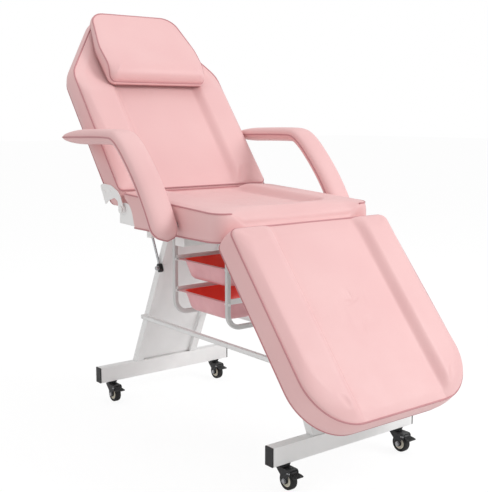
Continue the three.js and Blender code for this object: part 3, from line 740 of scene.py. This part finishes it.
def leg_rest_cushion():
    face = Face("leg_rest_cushion")
    half, length = face.half, face.length
    plan = mirrored_corners((half, 0, 138 * MM), (half, length, 24 * MM))
    outline = rounded_polygon(plan, LOOP_POINTS)

    def top(u, v, distance, seam):
        edge = quarter_round(distance, EDGE_ROLL) * (0.45 + 0.55 * smooth(0, 70 * MM, v))
        return seam + bolster_height(channel_straight(u), edge)

    seam = level_seam(-BOLSTER - 1 * MM)
    rows, low, high = cushion_rows(outline, seam, -face.thick - FOLD, top, skirt=FOLD)
    piece, placed = make_cushion("leg_rest_pad", "leg_rest", face, rows, (low, high))
    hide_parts("leg_rest_cushion")
    piping("leg_rest_piping_top", placed[high], "leg_rest")
    piping("leg_rest_piping_bottom", placed[low], "leg_rest")


def back_cushion():
    face = Face("back_cushion")
    half, length = face.half, face.length
    shoulder = length - 230 * MM
    top_half = 125 * MM
    nose_reach = 27 * MM
    plan = mirrored_corners(
        (half, 0, 16 * MM), (half, shoulder, 90 * MM), (top_half, length, 62 * MM),
    )
    outline = rounded_polygon(plan, LOOP_POINTS)
    pillow_from = Face("headrest_pillow", face.turn).low - face.low

    def top(u, v, distance, seam):
        edge = quarter_round(distance, EDGE_ROLL) * (0.45 + 0.55 * smooth(0, 60 * MM, v))
        under_pillow = 1 - 0.8 * smooth(pillow_from - 30 * MM, pillow_from + 60 * MM, v)
        return seam + bolster_height(channel_straight(u), edge * under_pillow)

    def nose(row):
        """Rounds the lower end out into the seat's hollow."""
        row = row.copy()
        depth = np.clip((-row[:, 2] - 22 * MM) / (face.thick - 5 * MM), 0, 1)
        near = 1 - smooth(0, 70 * MM, row[:, 1])
        row[:, 1] -= nose_reach * np.sin(depth * math.pi) * near
        return row

    beside_hinge = smooth(70 * MM, 160 * MM, outline[:, 1])
    seam = level_seam(-BOLSTER + 2 * MM)
    base = -face.thick - FOLD
    rows, low, high = cushion_rows(outline, seam, base, top, bulge=9 * MM * beside_hinge, skirt=FOLD)
    piece, placed = make_cushion("back_rest_pad", "back_rest", face, rows, (low, high), reshape=nose)
    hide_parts("back_cushion")
    piping("back_rest_piping_front", placed[high], "back_rest")
    piping("back_rest_piping_rear", placed[low], "back_rest")


def seat_cushion():
    face = Face("seat_cushion", Matrix.Identity(4))
    face.high -= SEAT_RISE
    face.thick -= SEAT_RISE
    half, length = face.half, face.length
    plan = mirrored_corners((half, 0, 44 * MM), (half, length, 24 * MM))
    outline = rounded_polygon(plan, LOOP_POINTS)
    base = -face.thick - FOLD
    hollow_radius = 85 * MM
    hollow_below = 80 * MM  # from the front of the top down to the middle of the hollow
    roll = 30 * MM  # how much lower the front's edge starts, where no seam holds it
    drop = 8 * MM  # of the side seams below the bolsters

    def rolled(u, v):
        """1 along the front between the ends of the side seams, 0 elsewhere."""
        return (1 - smooth(0, 50 * MM, v)) * (1 - smooth(185 * MM, 235 * MM, np.abs(u)))

    def seam(u, v):
        return -drop - roll * rolled(u, v)

    def top(u, v, distance, seam_here):
        edge = quarter_round(distance, 46 * MM)
        hump = bolster_height(channel_with_front(u, v), 1) - BOLSTER - 1 * MM
        return seam_here * (1 - edge) + edge * hump

    def shape(row):
        """Slopes the top up to the rear, and draws the rear in to the hollow the back rest turns in."""
        row = row.copy()
        height = np.clip((row[:, 2] - base) / -base, 0, 1)
        row[:, 2] += SEAT_RISE * height * row[:, 1] / length
        depth = np.clip(row[:, 2] + hollow_below, -hollow_radius, hollow_radius)
        arc = np.sqrt(hollow_radius**2 - depth**2)
        full = np.sqrt(hollow_radius**2 - hollow_below**2)
        near = smooth(length - 110 * MM, length, row[:, 1])
        row[:, 1] -= np.maximum(arc - full, 0) * near
        return row

    rows, low, high = cushion_rows(outline, seam, base, top, skirt=FOLD)
    piece, placed = make_cushion("seat_pad", "base", face, rows, (low, high), reshape=shape)
    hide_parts("seat_cushion")
    held = rolled(*outline.T) < 0.05
    first = int(np.argmax(held & ~np.roll(held, 1)))
    top_seam = np.roll(placed[high], -first, axis=0)[: int(held.sum())]
    piping("seat_piping_top", top_seam, "base", closed=False)
    piping("seat_piping_bottom", placed[low], "base")


def pillow_cushion():
    """A wedge, thick at its lower edge, where its face rolls down to the back rest."""
    face = Face("headrest_pillow", Face("back_cushion").turn)
    length = face.length
    plan = mirrored_corners(
        (181 * MM, 0, 20 * MM), (187 * MM, 130 * MM, 200 * MM), (158 * MM, length - 4 * MM, 55 * MM),
    )
    outline = rounded_polygon(plan, LOOP_POINTS)
    thin = 20 * MM  # at the upper edge

    def thickness(v):
        return thin + (face.thick - thin) * (1 - v / length)

    def seam(u, v):
        sunk = 0.8 * (1 - smooth(0, 75 * MM, v)) ** 1.5
        return -face.thick + thickness(v) * (0.62 - sunk * 0.62) + 8 * MM

    def top(u, v, distance, seam_here):
        edge = quarter_round(distance, 62 * MM)
        return seam_here + edge * (thickness(v) - face.thick - 1 * MM - seam_here)

    rows, low, high = cushion_rows(outline, seam, -face.thick + 3 * MM, top, bulge=3 * MM)
    piece, placed = make_cushion("head_pillow", "headrest", face, rows, (low, high), cap=5 * MM)
    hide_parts("headrest_pillow")
    piping("head_pillow_piping_front", placed[high], "headrest")
    piping("head_pillow_piping_rear", placed[low], "headrest")


# ---- Arm rests ----

ARM_HALF = 41 * MM
ARM_TOP = 23 * MM  # from the seam to the crown of the top panel
ARM_UNDER = 22 * MM
ARM_SIDES = 40  # points round the pad's section


def corner_cut(points):
    """One round of Chaikin smoothing that keeps both ends."""
    cut = [points[0]]
    for start, stop in zip(points, points[1:]):
        cut += [start * 0.75 + stop * 0.25, start * 0.25 + stop * 0.75]
    cut.append(points[-1])
    return np.array(cut)


def arm_seam_path(low, high):
    """(y, z) of the seam from the rear tip, level, round the bend and down to the lower end."""
    reach = high.y - low.y
    rise = high.z - low.z
    corners = [(1.0, 0.925), (0.5, 0.945), (0.405, 0.925), (0.24, 0.62), (0.13, 0.345), (0.04, 0.05)]
    points = np.array([(low.y + a * reach, low.z + b * rise) for a, b in corners])
    for _ in range(3):
        points = corner_cut(points)
    return resample(points, 90)


def arm_section(width, swell):
    """(across, up) points round the pad, whose top and under panels meet at the seam."""
    section = []
    for i in range(ARM_SIDES):
        angle = 2 * math.pi * i / ARM_SIDES
        c, s = math.cos(angle), math.sin(angle)
        across = math.copysign(abs(c) ** 0.8, c)
        height = (ARM_TOP if s > 0 else ARM_UNDER) * math.copysign(abs(s) ** 0.75, s)
        section.append((width * across, swell * height))
    return section


def arm_pad(side):
    """A padded arm, narrow at its rear tip and round at its lower end, with a piped seam all round."""
    low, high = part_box(f"arm_pad_{side}")
    middle = SIDES[side] * (abs(low.x) + abs(high.x)) / 2
    path = arm_seam_path(low, high)
    ahead = directions(path)
    up = np.column_stack([ahead[:, 1], -ahead[:, 0]])
    up *= np.sign(up[0, 1])
    run = run_along(path)
    rest = run[-1] - run
    tip = 0.45 + 0.55 * quarter_round(run, 30 * MM)
    width = ARM_HALF * np.minimum(tip, quarter_round(rest, ARM_HALF))
    swell = np.minimum(quarter_round(run, 110 * MM), quarter_round(rest, 46 * MM))
    rows = []
    for k, point in enumerate(path):
        row = []
        for across, height in arm_section(width[k], swell[k]):
            y, z = point + up[k] * height
            row.append((middle + across, y, z))
        rows.append(row)
    body = f"arm_{side}"
    name = f"arm_rest_{side}"
    piece = new_object(name, loft_mesh(name, rows), body, *PADDED)
    subdivide(piece)
    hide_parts(f"arm_pad_{side}")
    seam = [row[0] for row in rows] + [row[ARM_SIDES // 2] for row in reversed(rows)]
    piping(f"arm_rest_piping_{side}", resample(np.array(seam), 300, closed=True), body)


# ---- Hinge plates and prop guides ----

HINGE_BLADE = in_mm(  # (y, z, corner radius) from the pivot, up to the tip and back round the hollow
    (126, 66, 5), (107, 72, 9), (59, 70, 34), (23, 55, 26), (3, 36, 20), (-15, 0, 13), (0, -15, 9),
    (17, -3, 8), (20, 24, 12), (40, 33, 14), (77, 22, 40), (95, 9, 3),
)
PLATE_SCREWS = in_mm((62, 52), (98, 48))
SCREW_HEAD = in_mm((0, 0), (4.5, 0), (4.2, 1.2), (2.6, 1.8), (0, 1.8))
GUIDE_PLAN = in_mm((-14, -8.2, 7), (14, -8.2, 7), (14, 8.2, 7), (-14, 8.2, 7))
GUIDE_WIDE = 13.4 * MM
GUIDE_BOLT = in_mm(
    (0, -18), (4.6, -18), (4.6, 0), (7.5, 0.2), (7.5, 1.6), (3.6, 1.8), (3.6, 4), (6.5, 4.2), (6.5, 8.6),
    (5.4, 9.4), (0, 9.4),
)


def hinge_plate(side):
    """The back rest's white side plate: a curved blade that narrows down to the pivot."""
    node = f"back_hinge_plate_{side}"
    low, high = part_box(node)
    pin_low, pin_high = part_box(f"back_hinge_pin_{side}")
    pivot = (pin_low + pin_high) / 2
    outline = [(pivot.y + y, pivot.z + z) for y, z in rounded_polygon(HINGE_BLADE, 150)]
    plate = side_plate(f"back_side_plate_{side}", outline, (low.x, high.x), "back_rest", *PAINTED)
    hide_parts(node)
    sign = SIDES[side]
    face = sign * max(abs(low.x), abs(high.x))
    for number, (y, z) in enumerate(PLATE_SCREWS):
        centre = (face, pivot.y + y, pivot.z + z)
        name = f"back_plate_screw_{side}_{number}"
        lathe(name, SCREW_HEAD, centre, (sign, 0, 0), "back_rest", *PAINTED, steps=24)


def strut_guide(side):
    """A black sleeve that the prop rod slides through, on a bolt through the leg's ear."""
    node = f"back_strut_guide_{side}"
    low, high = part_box(node)
    middle = (low + high) / 2
    rod_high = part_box(f"back_strut_{side}")[1]
    angle = math.atan2(rod_high.z - middle.z, rod_high.y - middle.y)
    turn = np.array([(math.cos(angle), math.sin(angle)), (-math.sin(angle), math.cos(angle))])
    plan = rounded_polygon(GUIDE_PLAN, 60) @ turn
    outline = [(middle.y + y, middle.z + z) for y, z in plan]
    sign = SIDES[side]
    outer = max(abs(low.x), abs(high.x))
    body = f"back_guide_{side}"
    faces = (sign * (outer - GUIDE_WIDE), sign * outer)
    sleeve = side_plate(f"guide_sleeve_{side}", outline, faces, body, *NYLON, edge=1.6 * MM)
    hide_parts(node)
    centre = (sign * outer, middle.y, middle.z)
    lathe(f"guide_bolt_{side}", GUIDE_BOLT, centre, (sign, 0, 0), body, *PLATED, steps=24)


# ---- Trays and their rack ----

LIP = 3 * MM  # thickness of a tray's lip
LIP_WIDE = 10 * MM  # from the lip's edge to the tub
LIP_CORNER = 8 * MM
MOUTH_CORNER = 24 * MM  # where the tub meets the lip
WALL_CORNER = 26 * MM
WALL = 2.5 * MM
DRAFT = 14 * MM
WALL_SHARES = (0.0, 0.02, 0.06, 0.12, 0.2, 0.35, 0.6, 0.85)  # of the way up the wall
RING_POINTS = 96


def tray_pan(node):
    """A moulded pink tub, its inside painted deep red as painted shade, with a rounded lip that rests on
    the rails.
    """
    low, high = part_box(node)
    top, bottom = high.z, low.z
    under = top - LIP

    def ring(inset, z, radius):
        """A level rounded rectangle, inset from the lip's edge."""
        half, near, far = high.x - inset, low.y + inset, high.y - inset
        corners = [(half, near, radius), (half, far, radius), (-half, far, radius), (-half, near, radius)]
        return np.column_stack([rounded_polygon(corners, RING_POINTS), np.full(RING_POINTS, z)])

    def wall_row(share, inward, base, roof):
        """A row of the tub's wall, round at the foot; share is 0 at the foot and 1 at the roof."""
        foot = 10 * MM * (1 - quarter_round(share, 0.25))
        inset = LIP_WIDE + DRAFT * (1 - share) + foot + inward
        return ring(inset, base + (roof - base) * share, WALL_CORNER - inward)

    outside = [ring(70 * MM, bottom, 14 * MM), ring(42 * MM, bottom, 20 * MM)]
    outside += [wall_row(share, 0, bottom, under) for share in WALL_SHARES]
    outside += [
        ring(LIP_WIDE, under, MOUTH_CORNER),
        ring(1 * MM, under, LIP_CORNER),
        ring(0, under + LIP / 2, LIP_CORNER),
        ring(1 * MM, top, LIP_CORNER),
        ring(LIP_WIDE + WALL - 2 * MM, top, MOUTH_CORNER),
    ]
    floor_in = bottom + WALL
    inside = [wall_row(share, WALL, floor_in, top - 1 * MM) for share in (1.0, *reversed(WALL_SHARES))]
    inside += [ring(44 * MM, floor_in, 18 * MM), ring(72 * MM, floor_in, 12 * MM)]
    name = f"{node}_pan"
    mesh = loft_mesh(name, outside + inside)
    piece = new_object(name, mesh, node, "tray_plastic", TRAY_PINK, TRAY_INSIDE_PAINTED_SHADE)
    shaded_from = (len(outside) - 1) * RING_POINTS
    walls = shaded_from + len(inside) * RING_POINTS
    bottom_cap = RING_POINTS // 2 - 1
    # red marks the inside's faces, which take the painted-shade red.
    for polygon in mesh.polygons:
        red = shaded_from <= polygon.index < walls or polygon.index >= walls + bottom_cap
        polygon.material_index = int(red)
    subdivide(piece)
    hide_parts(node)


RAIL_GAP = 0.3 * MM  # between a rail's top and the tray's lip
HOOP_WIDE = 14 * MM
HOOP_DEEP = 12 * MM
HOOP_BEND = 40 * MM
CLIP = 8 * MM
RAIL_SECTION = in_mm((0, 13), (0, -3), (10, -3), (10, 0), (3, 0), (3, 13))  # (inward, up) from the lip


def rounded_section(wide, deep, radius, count=24):
    half_a, half_b = wide / 2, deep / 2
    signs = ((1, -1), (1, 1), (-1, 1), (-1, -1))
    return rounded_polygon([(a * half_a, b * half_b, radius) for a, b in signs], count)


def hoop_bar(name, half, low, high, y):
    """A flat-sided tube bent down, across below the trays and up again."""
    corners = [(-half, high, 0), (-half, low, HOOP_BEND), (half, low, HOOP_BEND), (half, high, 0)]
    line = bent_path(corners, 120)
    section = rounded_section(HOOP_WIDE, HOOP_DEEP, 3 * MM)
    rows = []
    for (x, z), (ahead_x, ahead_z) in zip(line, directions(line)):
        rows.append([(x - a * ahead_z, y + b, z + a * ahead_x) for a, b in section])
    return new_object(name, loft_mesh(name, rows), "base", "white_paint", RACK_PAINT)


def rail(name, half, face, lip, inward):
    """An angle rail across the hoop, with crisp faces."""
    rows = [[(x, face + inward * a, lip + b) for a, b in RAIL_SECTION] for x in np.linspace(-half, half, 9)]
    piece = new_object(name, loft_mesh(name, rows), "base", *PAINTED)
    for polygon in piece.data.polygons:
        polygon.use_smooth = False
    bevel(piece, 0.8 * MM)


def clip(name, x, y, lip, inward):
    """A small white block where a rail meets the hoop."""
    section = rounded_section(CLIP, CLIP, 2.5 * MM)
    places = np.linspace(y - inward * 7.5 * MM, y + inward * 9 * MM, 5)
    rows = [[(x + a, place, lip + 1 * MM + b) for a, b in section] for place in places]
    piece = new_object(name, loft_mesh(name, rows), "base", *PAINTED)
    bevel(piece, 0.8 * MM)


def rack_hoop(end):
    """The hoop's bent bar and its two angle rails, clipped to the bar at both ends."""
    node = f"rack_hoop_{end}"
    low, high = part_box(node)
    inward = 1 if end == "front" else -1
    y = (low.y if end == "front" else high.y) + inward * HOOP_DEEP / 2
    half = high.x - HOOP_WIDE / 2
    bar = hoop_bar(f"{node}_bar", half, low.z + HOOP_WIDE / 2, high.z, y)
    for level in ("upper", "lower"):
        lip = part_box(f"{level}_tray")[1].z - LIP - RAIL_GAP
        rail(f"{node}_rail_{level}", half, y + inward * HOOP_DEEP / 2, lip, inward)
        for side, sign in SIDES.items():
            clip(f"{node}_clip_{level}_{side}", sign * half, y, lip, inward)
    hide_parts(node)


# ---- Casters: local y runs from the swivel towards the trailing wheel, z up from the floor ----


def same_on_both_faces(*half):
    """A wheel's section in mm, mirrored about the middle of its width."""
    return in_mm(*half, *[(radius, -along) for radius, along in reversed(half)])


HEAD_RADIUS = 17 * MM
TRAIL = 18 * MM
AXLE_HEIGHT = 25 * MM
CHEEK = (12 * MM, 14.5 * MM)  # inner and outer faces, from the middle of the wheel
CHEEK_OUTLINE = in_mm(
    (-16, 57, 1.5), (36, 57, 1.5), (41, 51, 3), (39, 42, 4), (29, 40, 8), (27, 17, 8.5), (9, 17, 8.5),
    (3, 36, 12), (-12, 50, 5),
)
HOOD_OUTLINE = in_mm((-15, 57, 2), (37, 57, 2), (40, 52, 2), (34, 53.5, 3), (-12, 53.5, 3))
HOOD_HALF = 12.4 * MM
SHOE_OUTLINE = in_mm((26, 53, 1.5), (38, 53, 1.5), (44, 46, 2), (39.5, 43.4, 2), (30, 50, 2))
SHOE_HALF = 10.5 * MM
HEAD_SECTION = in_mm(
    (0, 57), (14.5, 57), (15.5, 58.5), (15.5, 61), (14, 61.6), (14, 62.4), (16.4, 63), (17, 64), (17, 66.6),
    (0, 66.6),
)
RIVETS = in_mm((30, 48), (37, 49))
RIVET_SECTION = in_mm((0, 0.2), (1.2, 0), (2.0, -0.5), (2.2, -1.2), (0, -1.2))
TREAD_SECTION = same_on_both_faces((16.5, -8.6), (21.5, -9.8), (23.6, -9.2), (24.7, -7), (25, -4))
HUB_SECTION = same_on_both_faces(
    (16.7, -8.2), (15.6, -8.8), (14.2, -8.4), (13.2, -6.4), (10.6, -6.2), (9.6, -7.8), (8, -8.2),
)
SEAL_SECTION = same_on_both_faces((4.4, -9.4), (7.6, -9), (8.1, -7.8))
AXLE_SECTION = in_mm((0, -18), (3.8, -18), (3.8, 19.4), (0, 19.4))
WASHER_SECTION = in_mm((3.9, 14.6), (6.8, 14.6), (6.8, 15.6), (3.9, 15.6))
NUT_SECTION = in_mm((0, 15.7), (5.6, 15.7), (6.3, 16.3), (6.3, 18.4), (5.4, 19.3), (0, 19.3))
PEDAL_LINE = in_mm(  # (y, z, half width) from the fork out to the toe
    (29, 51.5, 9), (36, 50.5, 10), (42, 48, 11), (46, 45.5, 15.5), (53, 42.8, 18), (58, 42.6, 16),
    (59.5, 43, 12),
)


class Caster:
    """Where one caster stands, and the names of its bodies."""

    def __init__(self, end, side):
        self.tag = f"{end}_{side}"
        self.fork = f"caster_{self.tag}"
        low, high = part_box(f"caster_fork_{self.tag}")
        self.x = (low.x + high.x) / 2
        self.swivel = high.y - HEAD_RADIUS
        self.axle = self.at(TRAIL, AXLE_HEIGHT)

    def at(self, y, z, across=0.0):
        """Row-frame point from the caster's own axes."""
        return Vector((self.x + across, self.swivel - y, z))

    def plate(self, name, corners, count, faces, body):
        """A black plate square to X; faces are measured from the middle of the wheel."""
        outline = [(self.swivel - y, z) for y, z in rounded_polygon(corners, count)]
        xs = [self.x + face for face in faces]
        side_plate(f"caster_{name}", outline, xs, body, *NYLON)


def caster_fork(caster):
    """Two riveted cheeks below a hood, and the head that swivels under the foot tube."""
    tag = caster.tag
    for side, sign in SIDES.items():
        faces = [sign * face for face in CHEEK]
        caster.plate(f"cheek_{tag}_{side}", CHEEK_OUTLINE, 90, faces, caster.fork)
        for number, (y, z) in enumerate(RIVETS):
            centre = caster.at(y, z, sign * (CHEEK[1] + 0.9 * MM))
            name = f"caster_rivet_{tag}_{side}_{number}"
            lathe(name, RIVET_SECTION, centre, (sign, 0, 0), caster.fork, *PLATED, steps=20)
    caster.plate(f"hood_{tag}", HOOD_OUTLINE, 60, (-HOOD_HALF, HOOD_HALF), caster.fork)
    name = f"caster_head_{tag}"
    head = lathe(name, HEAD_SECTION, caster.at(0, 0), (0, 0, 1), caster.fork, *NYLON)
    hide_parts(f"caster_fork_{tag}")


def caster_wheel(caster):
    """A black tread on a cream hub with a dished face, and a black seal round the axle."""
    body = f"wheel_{caster.tag}"

    def turned(part, section, *finish):
        return lathe(f"caster_{part}_{caster.tag}", section, caster.axle, (1, 0, 0), body, *finish)

    tread = turned("tread", TREAD_SECTION, "tyre", TYRE)
    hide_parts(f"caster_wheel_{caster.tag}")
    turned("hub", HUB_SECTION, "tyre", HUB_CREAM)
    turned("seal", SEAL_SECTION, *NYLON)


def caster_bolt(caster):
    """The axle: a bar with a washer and a hexagon at each side."""

    def turned(name, section, sign, steps):
        axis = (sign, 0, 0)
        return lathe(name, section, caster.axle, axis, caster.fork, *PLATED, steps=steps)

    tag = caster.tag
    bar = turned(f"caster_axle_bar_{tag}", AXLE_SECTION, 1, 32)
    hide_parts(f"caster_axle_{tag}")
    for side, sign in SIDES.items():
        turned(f"caster_washer_{tag}_{side}", WASHER_SECTION, sign, 32)
        turned(f"caster_nut_{tag}_{side}", NUT_SECTION, sign, 6)


def caster_pedal(caster):
    """A ribbed blade that widens to its turned-up toe, on a shoe between the cheeks."""
    tag = caster.tag
    body = f"brake_{tag}"
    rows = []
    for y, z, half in PEDAL_LINE:
        section = rounded_section(2 * half, 2.6 * MM, 1.1 * MM, 40)
        rows.append([caster.at(y, z + b, a) for a, b in section])
    name = f"caster_pedal_{tag}"
    pedal = new_object(name, loft_mesh(name, rows), body, *NYLON)
    subdivide(pedal)
    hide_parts(f"caster_brake_{tag}")
    for number, across in enumerate((-6 * MM, 0, 6 * MM)):
        line = [tuple(caster.at(y, z + 1.2 * MM, across)) for y, z, _ in PEDAL_LINE[1:-1]]
        path = resample(np.array(line), 16)
        tube(f"caster_pedal_rib_{tag}_{number}", path, 0.9 * MM, body, *NYLON)
    caster.plate(f"shoe_{tag}", SHOE_OUTLINE, 40, (-SHOE_HALF, SHOE_HALF), body)


def make_caster(end, side):
    caster = Caster(end, side)
    caster_fork(caster)
    caster_wheel(caster)
    caster_bolt(caster)
    caster_pedal(caster)


# ---- Studio ----

VIEW_FROM = Vector((-1.576, -2.062, 0.929))
VIEW_AZIMUTH = math.radians(-37.8)
VIEW_DOWN = math.radians(8.43)
LENS = 63.9
SENSOR = 36
AMBIENT = 0.62  # of the light from all round
PAPER_GLOW = 1.06
PAPER_SHARE = 0.85  # of the floor's own glow in what the camera sees of it


def camera():
    data = bpy.data.cameras.new("camera")
    data.lens = LENS
    data.sensor_width = SENSOR
    made = bpy.data.objects.new("camera", data)
    made.location = VIEW_FROM
    made.rotation_euler = (math.pi / 2 - VIEW_DOWN, 0, VIEW_AZIMUTH)
    bpy.context.scene.collection.objects.link(made)
    bpy.context.scene.camera = made


def area_light(name, place, target, size, power):
    data = bpy.data.lights.new(name, "AREA")
    data.shape = "DISK"
    data.size = size
    data.energy = power
    made = bpy.data.objects.new(name, data)
    made.location = place
    made.rotation_euler = (Vector(target) - Vector(place)).to_track_quat("-Z", "Y").to_euler()
    bpy.context.scene.collection.objects.link(made)


def studio_world():
    """White behind the object, softer light from all round it."""
    world = bpy.data.worlds.new("studio")
    world.use_nodes = True
    nodes, links = world.node_tree.nodes, world.node_tree.links
    background = nodes["Background"]
    background.inputs["Color"].default_value = (1, 1, 1, 1)
    seen = nodes.new("ShaderNodeLightPath").outputs["Is Camera Ray"]
    strength = nodes.new("ShaderNodeMapRange")
    strength.inputs["To Min"].default_value = AMBIENT
    strength.inputs["To Max"].default_value = 1.0
    links.new(seen, strength.inputs["Value"])
    links.new(strength.outputs["Result"], background.inputs["Strength"])
    bpy.context.scene.world = world


def floor():
    """A pale studio floor that shows only a soft contact shadow."""
    mesh = bpy.data.meshes.new("studio_floor")
    bm = bmesh.new()
    bmesh.ops.create_grid(bm, x_segments=4, y_segments=4, size=30)
    bm.to_mesh(mesh)
    bm.free()
    made = bpy.data.objects.new("studio_floor", mesh)
    bpy.context.scene.collection.objects.link(made)
    s = Shader("studio_floor")
    s.set(Base_Color=s.ramp(s.noise(2.0), (0.3, 0.86), (0.7, 0.88)), Roughness=0.9)
    glow = s.add("ShaderNodeEmission")
    paper = s.add("ShaderNodeMixShader")
    seen = s.add("ShaderNodeLightPath").outputs["Is Camera Ray"]
    glow.inputs["Strength"].default_value = PAPER_GLOW
    s.join(s.math("MULTIPLY", seen, PAPER_SHARE), paper.inputs["Fac"])
    s.join(s.surface.outputs["BSDF"], paper.inputs[1])
    s.join(glow.outputs["Emission"], paper.inputs[2])
    s.join(paper.outputs["Shader"], s.nodes["Material Output"].inputs["Surface"])
    mesh.materials.append(s.material)


def lights():
    """A large soft key from the front right, a weak fill from the left and one from above."""
    target = (0, 0, 0.7)
    area_light("key", (2.3, -3.0, 2.7), target, 1.8, 84)
    area_light("left_fill", (-3.4, -0.6, 1.9), target, 2.5, 10)
    area_light("top", (-0.2, 0.5, 3.8), target, 2.6, 22)
    bpy.context.scene.view_settings.view_transform = "Standard"


# ---- Assembly ----

dress_cad_nodes()
leg_rest_cushion()
back_cushion()
seat_cushion()
pillow_cushion()
for bed_side in SIDES:
    arm_pad(bed_side)
    hinge_plate(bed_side)
    strut_guide(bed_side)
for tray_node in ("upper_tray", "lower_tray"):
    tray_pan(tray_node)
for bed_end in ENDS:
    rack_hoop(bed_end)
    for bed_side in SIDES:
        make_caster(bed_end, bed_side)
studio_world()
floor()
lights()
camera()
